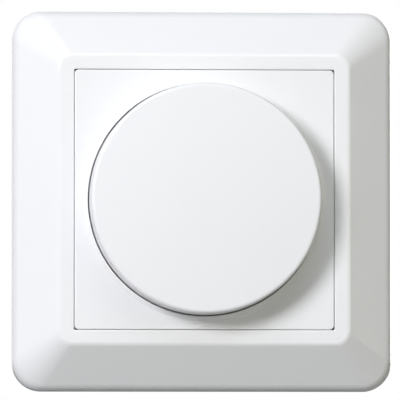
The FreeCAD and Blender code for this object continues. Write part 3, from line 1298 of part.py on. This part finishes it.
def axial_part(name, x, radius, length):
    """Small part lying along Z, with a lead down through the board at each end."""
    y = f"({BOARD_FRONT} - {radius} - board_stand)"
    low = f"(-resistor_low - {length} / 2)"
    pieces = [rod(name + "_barrel", "Z", radius, x, y, low, length),
              rod(name + "_wire", "Z", "lead_radius * 0.9", x, y,
                  f"{low} - lead_bend", f"{length} + 2 * lead_bend")]
    for end in SIDES:
        z = f"{end} * ({length} / 2 + lead_bend) - resistor_low"
        pieces.append(rod_y(f"{name}_lead_{end + 1}", "lead_radius", x, z,
                            f"{y} - lead_radius - board_stand", PIN_END))
    return fuse(name + "_shape", *pieces)


def make_resistors():
    """Three resistors side by side, and the diac."""
    row = [axial_part(f"resistor_{number + 1}", f"-resistor_place + {number} * resistor_pitch",
                      "resistor_radius", "resistor_length") for number in TERMINALS]
    node("resistors", group("resistors_group", *row))
    node("diac", axial_part("diac", "-diac_place", "diac_radius", "diac_length"))


def make_triac():
    """Triac on the support plate, with pad, screw and nut."""
    left, right = "-triac_place - triac_width / 2", "-triac_place + triac_width / 2"
    tab_end = "(pad_gauge + triac_gauge)"
    hole = ("-triac_place", "triac_hole")
    tab = block("triac_tab_block", (left, right), ("pad_gauge", tab_end), ("-triac_body", "triac_tab"))
    case = block("triac_case_block", (left, right), ("pad_gauge", "pad_gauge + triac_thick"),
                 ("-triac_body", "0"))
    level = "(pad_gauge + triac_thick / 2)"
    foot = "-triac_body - triac_foot"
    legs = []
    for number in TERMINALS:
        middle = f"-triac_place + {number} * triac_pitch"
        x = (f"{middle} - triac_lead / 2", f"{middle} + triac_lead / 2")
        legs.append(block(f"triac_leg_{number + 1}", x, (level, f"{level} + triac_lead"),
                          (foot, "-triac_body + joint_overlap")))
        legs.append(block(f"triac_foot_{number + 1}", x, (level, PIN_END), (foot, f"{foot} + triac_lead")))
    bore = rod_y("triac_bore", "machine_radius + hole_play", *hole, "-1", f"{tab_end} + 1")
    node("triac", cut("triac_shape", fuse("triac_solid", tab, case, *legs), bore))

    pad = block("pad_block", (f"{left} - pad_margin", f"{right} + pad_margin"), ("0", "pad_gauge"),
                ("-triac_body - pad_margin", "triac_tab + pad_margin"))
    pad_bore = rod_y("pad_bore", "machine_radius + hole_play", *hole, "-1", "pad_gauge + 1")
    node("thermal_pad", cut("pad_shape", pad, pad_bore))
    node("triac_screw", screw_y("triac_screw", *hole, "machine_head", "machine_radius",
                                f"{STEEL_FRONT} + machine_length"))
    nut_end = f"({tab_end} + small_nut_height)"
    nut = cut("triac_nut_shape", hexagon("triac_nut_hexagon", "small_nut_flats", tab_end, nut_end, *hole),
              rod_y("triac_nut_thread", "machine_radius", *hole, f"{tab_end} - 1", f"{nut_end} + 1"))
    node("triac_nut", nut)


def make_fuse():
    """Glass fuse along Z, held by two spring clips on the board."""
    y = f"({BOARD_FRONT} - fuse_stand)"
    low = "(-fuse_length / 2)"
    glass = rod("fuse_glass", "Z", "fuse_radius", "fuse_place", y, low, "fuse_length")
    caps = [rod(f"fuse_cap_{side + 1}", "Z", "fuse_cap", "fuse_place", y,
                low if side < 0 else "fuse_length / 2 - fuse_cap_length", "fuse_cap_length")
            for side in SIDES]
    node("fuse", fuse("fuse_shape", glass, *caps))
    clips = []
    for side in SIDES:
        middle = f"{side} * (fuse_length / 2 - fuse_cap_length / 2)"
        z = (f"{middle} - fuse_clip_width / 2", f"{middle} + fuse_clip_width / 2")
        inner, outer = "(fuse_cap + pin_play)", "(fuse_cap + pin_play + fuse_clip_gauge)"
        parts = [block(f"clip_base_{side + 1}", (f"fuse_place - {outer}", f"fuse_place + {outer}"),
                       (f"{BOARD_FRONT} - fuse_clip_gauge", BOARD_FRONT), z)]
        for hand in SIDES:
            arm = [f"fuse_place + {hand} * {edge}" for edge in (inner, outer)][::hand]
            parts.append(block(f"clip_arm_{side + 1}_{hand + 1}", arm,
                               (f"{y} - fuse_cap * 0.7", BOARD_FRONT), z))
        clips.append(fuse(f"clip_{side + 1}", *parts))
    node("fuse_clips", group("fuse_clips_group", *clips))


def make_trimmer():
    """Trimmer for the lowest brightness, set through the support plate."""
    front = f"({BOARD_FRONT} - trimmer_height)"
    half = "trimmer_side / 2"
    box = block("trimmer_box", (f"trimmer_x - {half}", f"trimmer_x + {half}"), (front, BOARD_FRONT),
                (f"trimmer_z - {half}", f"trimmer_z + {half}"))
    axis = ("trimmer_x", "trimmer_z")
    well = rod_y("trimmer_well", "trimmer_seat + trimmer_fit", *axis,
                 f"{front} - 1", f"{front} + trimmer_sink")
    node("trimmer_case", cut("trimmer_case_shape", box, well))
    face = f"({front} - trimmer_disc)"
    seat = rod_y("trimmer_plug", "trimmer_seat", *axis, face, f"{front} + trimmer_sink - hole_play")
    stem = rod_y("trimmer_stem_rod", "trimmer_stem", *axis, "trimmer_start", face)
    groove = block("trimmer_slot", ("trimmer_x - trimmer_stem - 1", "trimmer_x + trimmer_stem + 1"),
                   ("trimmer_start - 1", "trimmer_start + slot_cut"),
                   ("trimmer_z - slot_cut / 2", "trimmer_z + slot_cut / 2"))
    node("trimmer_rotor", cut("trimmer_rotor_shape", fuse("trimmer_turned", seat, stem), groove))


# Terminals

def make_terminals():
    """Rising cage terminals: cage, screw and contact strip, three of each."""
    for number in TERMINALS:
        tag = number + 2
        x = f"{number} * terminal_pitch"
        make_cage(tag, x)
        make_terminal_screw(tag, x)
        make_strip(tag, x)


def make_cage(tag, x):
    """Cage that its screw draws down on the wire."""
    half = "cage_width / 2"
    front, back = "(terminal_y - cage_depth / 2)", "(terminal_y + cage_depth / 2)"
    window_top = f"({CAGE_NUT_TOP} + cage_window)"
    shell = block(f"cage_block_{tag}", (f"{x} - {half}", f"{x} + {half}"), (front, back),
                  (CAGE_LOW, f"{window_top} + cage_top"))
    opening = block(f"cage_window_{tag}", (f"{x} - {half} + cage_side", f"{x} + {half} - cage_side"),
                    (f"{front} - 1", f"{back} + 1"), (CAGE_NUT_TOP, window_top))
    thread = rod(f"cage_thread_{tag}", "Z", "terminal_radius + terminal_fit", x, "terminal_y",
                 f"{CAGE_LOW} - 1", "cage_nut + 2")
    bent = rounded(f"cage_bent_{tag}", shell, "cage_bend", runs_along_y)
    node(f"terminal_cage_{tag}", cut(f"cage_shape_{tag}", bent, opening, thread))


def make_terminal_screw(tag, x):
    """Slotted screw that faces down, under its contact strip."""
    head_top = f"({CAGE_LOW} - cage_travel - terminal_clear)"
    head_low = f"({head_top} - terminal_head_height)"
    head = rod(f"terminal_head_{tag}", "Z", "terminal_head", x, "terminal_y", head_low,
               "terminal_head_height")
    shank = rod(f"terminal_shank_{tag}", "Z", "terminal_radius", x, "terminal_y", head_top,
                f"-strip_low - strip_gap / 2 - {head_top}")
    groove = block(f"terminal_slot_{tag}", (f"{x} - terminal_head - 1", f"{x} + terminal_head + 1"),
                   ("terminal_y - slot_cut / 2", "terminal_y + slot_cut / 2"),
                   (f"{head_low} - 1", f"{head_low} + slot_sink"))
    turned = fuse(f"terminal_turned_{tag}", head, shank)
    node(f"terminal_screw_{tag}", cut(f"terminal_screw_shape_{tag}", turned, groove))


def make_strip(tag, x):
    """Bent contact strip through the cage, with a leg up behind the board."""
    half = "strip_width / 2"
    flat = block(f"strip_flat_{tag}", (f"{x} - {half}", f"{x} + {half}"),
                 ("terminal_y - cage_depth / 2 - strip_out", BOARD_BACK),
                 ("-strip_low", "-strip_low + strip_gauge"))
    leg = block(f"strip_leg_{tag}", (f"{x} - {half}", f"{x} - {half} + strip_gauge"),
                (BOARD_BACK, f"{BOARD_BACK} + strip_gauge"), ("-strip_low", "-board_foot + strip_rise"))
    node(f"contact_strip_{tag}", fuse(f"strip_shape_{tag}", flat, leg))


def check_and_write():
    """Stop on any failed object, then write one file for each sub-part."""
    doc.recompute()
    for thing in doc.Objects:
        if "Invalid" in thing.State or "Error" in thing.State:
            raise ValueError(f"{thing.Name} failed: {thing.State}")
    os.makedirs("parts", exist_ok=True)
    for thing in nodes:
        shape = thing.Shape
        if shape.isNull() or not shape.isValid() or not shape.Solids:
            raise ValueError(thing.Label + " has no valid shape")
        shape.exportStep(f"parts/{thing.Label}.step")
        print(f"{thing.Label}: {len(shape.Solids)} solids, {shape.Volume:.1f} mm3")


fill_sheet()
make_cover_frame()
make_centre_plate()
make_knob()
make_knob_clip()
make_nuts()
make_support_plate()
make_claws()
make_housing_lid()
make_housing_base()
make_housing_screws()
make_shaft()
make_shaft_clip()
make_bushing()
make_potentiometer()
make_wiper()
make_switch()
make_circuit_board()
make_choke()
make_capacitors()
make_resistors()
make_triac()
make_fuse()
make_trimmer()
make_terminals()
check_and_write()
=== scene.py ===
"""Looks of the rotary dimmer: materials, fine detail, light and camera."""

import json
import math

import bpy
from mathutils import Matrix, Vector

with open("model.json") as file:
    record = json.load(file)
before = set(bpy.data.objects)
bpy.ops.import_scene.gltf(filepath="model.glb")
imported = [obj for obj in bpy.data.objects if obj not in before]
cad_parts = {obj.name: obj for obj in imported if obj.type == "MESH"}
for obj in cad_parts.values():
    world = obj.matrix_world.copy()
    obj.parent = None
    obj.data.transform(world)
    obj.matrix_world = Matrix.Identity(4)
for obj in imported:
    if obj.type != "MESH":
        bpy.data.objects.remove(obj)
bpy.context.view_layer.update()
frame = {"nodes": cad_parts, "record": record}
MM = 0.001


# Surface patterns: scales of the noise, depths in metres and how far values spread

NOISE_LOW = 0.3
NOISE_HIGH = 0.7
MOTTLE_SCALE = 60
GRAIN_SCALE = 9000
GRAIN_DEPTH = 0.004 * MM
SATIN_DEPTH = 0.006 * MM
HOUSING_DEPTH = 0.010 * MM
PLASTIC_POLISH_SCALE = 220
PLASTIC_POLISH = (0.9, 1.1)
EVEN_SPREAD = 0.004
STREAK_SCALE = 900
STREAK_DEPTH = 0.003 * MM
STREAK_SPREAD = 0.05
METAL_POLISH_SCALE = 150
METAL_POLISH = (0.75, 1.3)
THREAD_DEPTH = 0.12 * MM
KNOB_MIDDLE = 7 * MM
MIDDLE_FADE = 0.1


# Looks that more than one material has

WHITE_PLASTIC = (0.93, 0.93, 0.93)
BLACK_PAINT = (0.02, 0.02, 0.02)
TINNED = (0.74, 0.74, 0.73)
NICKEL = ((0.70, 0.68, 0.64), 0.26)
PLATED_STEEL = ((0.72, 0.73, 0.75), 0.28)


# Painted rings and moulded bodies, by their places along Z in millimetres

RING_HALF = 0.28
RESISTOR_RINGS = (
    (-4.9, (0.20, 0.09, 0.04)),
    (-3.9, BLACK_PAINT),
    (-2.9, (0.75, 0.22, 0.03)),
    (-0.6, (0.60, 0.42, 0.12)),
)
RESISTOR_BODY = (-5.79, 0.59)
DIAC_RING = -1.2
DIAC_BODY = (-4.69, -0.51)
TRIAC_BODY = (-8.99, -0.01)
FUSE_BODY = (-4.61, 4.61)


# Threads: axis, pitch, first and last place in millimetres

CLAW_THREAD = ("Y", 0.5, -1.1, 21.5)
TERMINAL_THREAD = ("Z", 0.5, -20.75, -16.5)
THREADS = {
    "claw_screw_right": CLAW_THREAD,
    "claw_screw_left": CLAW_THREAD,
    "housing_screws": ("Y", 0.95, -1.1, 12.5),
    "triac_screw": ("Y", 0.5, -1.1, 5.5),
    "potentiometer_bushing": ("Y", 0.75, -8.5, 1.7),
    "terminal_screw_1": TERMINAL_THREAD,
    "terminal_screw_2": TERMINAL_THREAD,
    "terminal_screw_3": TERMINAL_THREAD,
}


# Room: floor, background and camera

WHITE_LIGHT = (1, 1, 1, 1)
WORLD_LIGHT = 0.023
FLOOR_HEIGHT = -0.10
FLOOR_HALF = 1.6
FLOOR_SCALE = 6
FLOOR_DARK = (0.40, 0.40, 0.40)
FLOOR_PALE = (0.42, 0.42, 0.42)
FLOOR_ROUGHNESS = 0.9
FLOOR_LIFT = 0.9
TARGET = Vector((-0.838, -8.0, 0.0)) * MM
AZIMUTH = math.radians(3.666)
ELEVATION = math.radians(2.889)
DISTANCE = 1.2
SENSOR = 36
LENS = 509.6
CLIP_START = 0.05
CLIP_END = 20


# Node trees

# First input, second input and result of a mix node, by what it mixes
MIX_SOCKETS = {"FLOAT": (2, 3, 0), "VECTOR": (4, 5, 1), "RGBA": (6, 7, 2)}


def calculate(tree, operation, *values):
    """Result of a math node over sockets and plain numbers."""
    node = tree.nodes.new("ShaderNodeMath")
    node.operation = operation
    for socket, value in zip(node.inputs, values):
        if isinstance(value, bpy.types.NodeSocket):
            tree.links.new(value, socket)
        else:
            socket.default_value = value
    return node.outputs["Value"]


class Nodes:
    """Node tree of a material, with short ways to add and link nodes."""

    def __init__(self, name):
        self.material = bpy.data.materials.new(name)
        self.material.use_nodes = True
        self.tree = self.material.node_tree
        self.shader = self.tree.nodes["Principled BSDF"]
        self.place = self.add("ShaderNodeTexCoord").outputs["Object"]

    def add(self, kind, **settings):
        """New node with its settings."""
        node = self.tree.nodes.new(kind)
        for name, value in settings.items():
            setattr(node, name, value)
        return node

    def link(self, source, target):
        """Join two sockets."""
        self.tree.links.new(source, target)

    def noise(self, scale, detail=3, stretch=None):
        """Noise of the given scale over the object's own coordinates."""
        node = self.add("ShaderNodeTexNoise")
        node.inputs["Scale"].default_value = scale
        node.inputs["Detail"].default_value = detail
        place = self.place
        if stretch:
            mapping = self.add("ShaderNodeMapping")
            mapping.inputs["Scale"].default_value = stretch
            self.link(self.place, mapping.inputs["Vector"])
            place = mapping.outputs["Vector"]
        self.link(place, node.inputs["Vector"])
        return node.outputs["Fac"]

    def ramp(self, factor, low, high):
        """Colour between two colours, over the usual range of a noise."""
        node = self.add("ShaderNodeValToRGB")
        node.color_ramp.elements[0].position = NOISE_LOW
        node.color_ramp.elements[1].position = NOISE_HIGH
        node.color_ramp.elements[0].color = (*low, 1)
        node.color_ramp.elements[1].color = (*high, 1)
        self.link(factor, node.inputs["Fac"])
        return node.outputs["Color"]

    def spread(self, factor, low, high):
        """Value between two values, over the usual range of a noise."""
        node = self.add("ShaderNodeMapRange")
        node.inputs["From Min"].default_value = NOISE_LOW
        node.inputs["From Max"].default_value = NOISE_HIGH
        node.inputs["To Min"].default_value = low
        node.inputs["To Max"].default_value = high
        self.link(factor, node.inputs["Value"])
        return node.outputs["Result"]

    def bump(self, factor, depth):
        """Bump of the given depth in metres."""
        node = self.add("ShaderNodeBump")
        node.inputs["Distance"].default_value = depth
        self.link(factor, node.inputs["Height"])
        self.link(node.outputs["Normal"], self.shader.inputs["Normal"])
        return node

    def place_along(self, axis):
        """The object's own coordinate along an axis."""
        parts = self.add("ShaderNodeSeparateXYZ")
        self.link(self.place, parts.inputs[0])
        return parts.outputs[axis]

    def within(self, axis, low, high):
        """One where the object's own coordinate lies between two places in millimetres."""
        middle = (low + high) / 2 * MM
        reach = (high - low) / 2 * MM
        return calculate(self.tree, "COMPARE", self.place_along(axis), middle, reach)

    def blend(self, name, mask, inside, outside):
        """Blend a shader input between what it has and a value, by a mask; None keeps what it has."""
        target = self.shader.inputs[name]
        kind = "RGBA" if name == "Base Color" else "FLOAT"
        first, second, result = MIX_SOCKETS[kind]
        mix = self.add("ShaderNodeMix", data_type=kind)
        self.link(mask, mix.inputs["Factor"])
        for index, value in ((first, outside), (second, inside)):
            if value is not None:
                mix.inputs[index].default_value = value
            elif target.is_linked:
                self.link(target.links[0].from_socket, mix.inputs[index])
            else:
                mix.inputs[index].default_value = target.default_value
        self.link(mix.outputs[result], target)

    def bare_ends(self, low, high, colour=TINNED, rough=0.3):
        """Bare metal above and below a stretch along Z."""
        body = self.within("Z", low, high)
        self.blend("Base Color", body, None, (*colour, 1))
        self.blend("Roughness", body, None, rough)
        self.blend("Metallic", body, None, 1.0)

    def ring(self, middle, colour):
        """Painted ring about Z."""
        band = self.within("Z", middle - RING_HALF, middle + RING_HALF)
        self.blend("Base Color", band, (*colour, 1), None)

    def thread(self, axis, pitch, low, high):
        """Screw thread between two places along an axis, over the bump that is there."""
        turn = calculate(self.tree, "MULTIPLY", self.place_along(axis), 2 * math.pi / (pitch * MM))
        wave = calculate(self.tree, "SINE", turn)
        height = calculate(self.tree, "MULTIPLY", wave, self.within(axis, low, high))
        before = self.shader.inputs["Normal"].links[0].from_socket
        node = self.bump(height, THREAD_DEPTH)
        self.link(before, node.inputs["Normal"])

    def distance_from_axis(self):
        """Distance from the object's own Y axis."""
        flat = self.add("ShaderNodeVectorMath", operation="MULTIPLY")
        flat.inputs[1].default_value = (1, 0, 1)
        self.link(self.place, flat.inputs[0])
        length = self.add("ShaderNodeVectorMath", operation="LENGTH")
        self.link(flat.outputs["Vector"], length.inputs[0])
        return length.outputs["Value"]

    def flat_shaded_middle(self, bump, radius):
        """Flat shading within a radius of the axis, where a dome's triangles meet."""
        geometry = self.add("ShaderNodeNewGeometry")
        fade = self.add("ShaderNodeMapRange")
        fade.inputs["From Min"].default_value = radius * (1 - MIDDLE_FADE)
        fade.inputs["From Max"].default_value = radius * (1 + MIDDLE_FADE)
        self.link(self.distance_from_axis(), fade.inputs["Value"])
        inner, outer, result = MIX_SOCKETS["VECTOR"]
        mix = self.add("ShaderNodeMix", data_type="VECTOR")
        self.link(fade.outputs["Result"], mix.inputs["Factor"])
        self.link(geometry.outputs["True Normal"], mix.inputs[inner])
        self.link(geometry.outputs["Normal"], mix.inputs[outer])
        self.link(mix.outputs[result], bump.inputs["Normal"])


# Materials

def shade(colour, amount):
    """Colour made lighter or darker."""
    return tuple(min(1.0, part * amount) for part in colour)


def plastic(name, colour, rough, grain=GRAIN_SCALE, depth=GRAIN_DEPTH, spread=0.02, middle=None):
    """Moulded plastic: faint mottling, fine grain and uneven polish."""
    nodes = Nodes(name)
    mottle = nodes.noise(MOTTLE_SCALE, detail=2)
    nodes.link(nodes.ramp(mottle, shade(colour, 1 - spread), shade(colour, 1 + spread)),
               nodes.shader.inputs["Base Color"])
    least, most = PLASTIC_POLISH
    nodes.link(nodes.spread(nodes.noise(PLASTIC_POLISH_SCALE, detail=4), rough * least, rough * most),
               nodes.shader.inputs["Roughness"])
    bump = nodes.bump(nodes.noise(grain, detail=2), depth)
    if middle:
        nodes.flat_shaded_middle(bump, middle)
    return nodes


def metal(name, colour, rough, scratch=None):
    """Plated or rolled metal with streaks along its rolling direction."""
    nodes = Nodes(name)
    streak = nodes.noise(STREAK_SCALE, stretch=scratch)
    nodes.link(nodes.ramp(streak, shade(colour, 1 - STREAK_SPREAD), shade(colour, 1 + STREAK_SPREAD)),
               nodes.shader.inputs["Base Color"])
    least, most = METAL_POLISH
    nodes.link(nodes.spread(nodes.noise(METAL_POLISH_SCALE, detail=4), rough * least, rough * most),
               nodes.shader.inputs["Roughness"])
    nodes.bump(streak, STREAK_DEPTH)
    nodes.shader.inputs["Metallic"].default_value = 1.0
    return nodes


def make_materials():
    """One material for each slot of the record."""
    return {
        "frame_plastic": plastic("frame_plastic", (0.93, 0.93, 0.925), 0.13, spread=EVEN_SPREAD),
        "plate_plastic": plastic("plate_plastic", WHITE_PLASTIC, 0.42, depth=SATIN_DEPTH,
                                 spread=EVEN_SPREAD),
        "knob_plastic": plastic("knob_plastic", WHITE_PLASTIC, 0.40, depth=SATIN_DEPTH,
                                spread=EVEN_SPREAD, middle=KNOB_MIDDLE),
        "spring_steel": metal("spring_steel", (0.42, 0.43, 0.44), 0.32),
        "plated_steel": metal("plated_steel", *PLATED_STEEL),
        "plated_sheet": metal("plated_sheet", (0.68, 0.69, 0.70), 0.34, scratch=(0.12, 1, 1)),
        "housing_plastic": plastic("housing_plastic", (0.16, 0.165, 0.175), 0.5, grain=5000,
                                   depth=HOUSING_DEPTH, spread=0.06),
        "shaft_metal": metal("shaft_metal", (0.78, 0.78, 0.79), 0.25, scratch=(1, 12, 1)),
        "nickel": metal("nickel", *NICKEL),
        "track_board": plastic("track_board", (0.36, 0.22, 0.12), 0.5, spread=0.1),
        "tin": metal("tin", (0.75, 0.75, 0.73), 0.3),
        "inner_plastic": plastic("inner_plastic", (0.10, 0.10, 0.11), 0.45, spread=0.08),
        "plunger_plastic": plastic("plunger_plastic", (0.82, 0.80, 0.74), 0.4, spread=0.03),
        "brass": metal("brass", (0.76, 0.60, 0.32), 0.28),
        "board": plastic("board", (0.55, 0.44, 0.25), 0.4, spread=0.06),
        "ferrite": plastic("ferrite", (0.16, 0.16, 0.17), 0.55, spread=0.12),
        "copper": metal("copper", (0.72, 0.36, 0.20), 0.25),
        "film_case": plastic("film_case", (0.72, 0.66, 0.20), 0.4, spread=0.03),
        "timing_case": plastic("timing_case", (0.62, 0.20, 0.14), 0.38, spread=0.03),
        "resistor_body": plastic("resistor_body", (0.62, 0.50, 0.34), 0.35, spread=0.05),
        "diac_glass": plastic("diac_glass", (0.12, 0.20, 0.42), 0.2, spread=0.05),
        "triac_case": plastic("triac_case", (0.07, 0.07, 0.075), 0.5, spread=0.1),
        "thermal_rubber": plastic("thermal_rubber", (0.62, 0.63, 0.65), 0.7, spread=0.04),
        "fuse_glass": plastic("fuse_glass", (0.86, 0.90, 0.90), 0.1, spread=0.02),
        "trimmer_case": plastic("trimmer_case", (0.15, 0.28, 0.60), 0.35, spread=0.04),
        "trimmer_rotor": plastic("trimmer_rotor", (0.88, 0.88, 0.85), 0.35, spread=0.03),
    }


def add_detail(materials):
    """Bare leads, caps and tabs, and the rings of the resistors and the diac."""
    for middle, colour in RESISTOR_RINGS:
        materials["resistor_body"].ring(middle, colour)
    materials["resistor_body"].bare_ends(*RESISTOR_BODY)
    materials["diac_glass"].ring(DIAC_RING, BLACK_PAINT)
    materials["diac_glass"].bare_ends(*DIAC_BODY)
    materials["triac_case"].bare_ends(*TRIAC_BODY, colour=(0.70, 0.70, 0.70), rough=0.35)
    materials["fuse_glass"].bare_ends(*FUSE_BODY, colour=(0.76, 0.76, 0.75), rough=0.22)


def paint(node_name, thing, slot, materials):
    """Give a node its material, with its own thread where it has one."""
    nodes = materials[slot]
    if node_name in THREADS:
        look = NICKEL if slot == "nickel" else PLATED_STEEL
        nodes = metal(f"{slot}_{node_name}", *look)
        nodes.thread(*THREADS[node_name])
    thing.data.materials.clear()
    thing.data.materials.append(nodes.material)


# Floor, background, lamps and camera

def make_floor():
    """Pale floor below the object, which keeps the object's shadow."""
    corners = [(x * FLOOR_HALF, y * FLOOR_HALF, FLOOR_HEIGHT)
               for x, y in ((-1, -1), (1, -1), (1, 1), (-1, 1))]
    mesh = bpy.data.meshes.new("floor")
    mesh.from_pydata(corners, [], [(0, 1, 2, 3)])
    floor = bpy.data.objects.new("floor", mesh)
    bpy.context.scene.collection.objects.link(floor)
    nodes = Nodes("floor_paint")
    nodes.link(nodes.ramp(nodes.noise(FLOOR_SCALE), FLOOR_DARK, FLOOR_PALE),
               nodes.shader.inputs["Base Color"])
    nodes.shader.inputs["Roughness"].default_value = FLOOR_ROUGHNESS
    path = nodes.add("ShaderNodeLightPath")
    lift = calculate(nodes.tree, "MULTIPLY", path.outputs["Is Camera Ray"], FLOOR_LIFT)
    nodes.shader.inputs["Emission Color"].default_value = WHITE_LIGHT
    nodes.link(lift, nodes.shader.inputs["Emission Strength"])
    floor.data.materials.append(nodes.material)


def make_world():
    """White to the eye, in gloss and through glass; a faint even light otherwise."""
    world = bpy.data.worlds.new("room")
    bpy.context.scene.world = world
    world.use_nodes = True
    tree = world.node_tree
    path = tree.nodes.new("ShaderNodeLightPath")
    strength = WORLD_LIGHT
    for ray in ("Is Camera Ray", "Is Transmission Ray", "Is Glossy Ray"):
        strength = calculate(tree, "MAXIMUM", path.outputs[ray], strength)
    back = tree.nodes["Background"]
    back.inputs["Color"].default_value = WHITE_LIGHT
    tree.links.new(strength, back.inputs["Strength"])


def lamp(name, towards, distance, size, level, colour):
    """Round soft lamp; level is the light it sends straight onto a surface."""
    data = bpy.data.lights.new(name, "AREA")
    data.shape = "DISK"
    data.size = size
    data.energy = level * math.pi ** 2 * distance ** 2
    data.color = colour
    thing = bpy.data.objects.new(name, data)
    bpy.context.scene.collection.objects.link(thing)
    direction = Vector(towards).normalized()
    thing.location = direction * distance
    thing.rotation_euler = direction.to_track_quat("Z", "Y").to_euler()


def make_camera():
    """Camera at the photograph's angle, a little left of and below the middle."""
    data = bpy.data.cameras.new("camera")
    data.sensor_width = SENSOR
    data.lens = LENS
    data.clip_start = CLIP_START
    data.clip_end = CLIP_END
    thing = bpy.data.objects.new("camera", data)
    bpy.context.scene.collection.objects.link(thing)
    forward = Vector((math.sin(AZIMUTH) * math.cos(ELEVATION), math.cos(AZIMUTH) * math.cos(ELEVATION),
                      math.sin(ELEVATION)))
    thing.location = TARGET - forward * DISTANCE
    thing.rotation_euler = forward.to_track_quat("-Z", "Y").to_euler()
    bpy.context.scene.camera = thing


materials = make_materials()
add_detail(materials)
slots = {part["node"]: part["material_slot"] for part in frame["record"]["subparts"]}
for name, thing in frame["nodes"].items():
    paint(name, thing, slots[name], materials)

make_floor()
make_world()
lamp("key", towards=(-0.74, -1.0, 0.42), distance=1.0, size=0.34, level=0.72, colour=(1.0, 1.005, 1.04))
lamp("ceiling", towards=(0, -0.6, 0.8), distance=1.2, size=0.9, level=0.27, colour=(0.97, 1.03, 1.16))
lamp("side", towards=(0.8, -0.6, 0), distance=1.2, size=0.9, level=0.18, colour=(1.04, 1.01, 0.62))
lamp("behind", towards=(0.5, 1.0, 0.15), distance=1.2, size=0.6, level=0.25, colour=(1.0, 1.0, 1.0))
make_camera()
bpy.context.scene.view_settings.view_transform = "Standard"
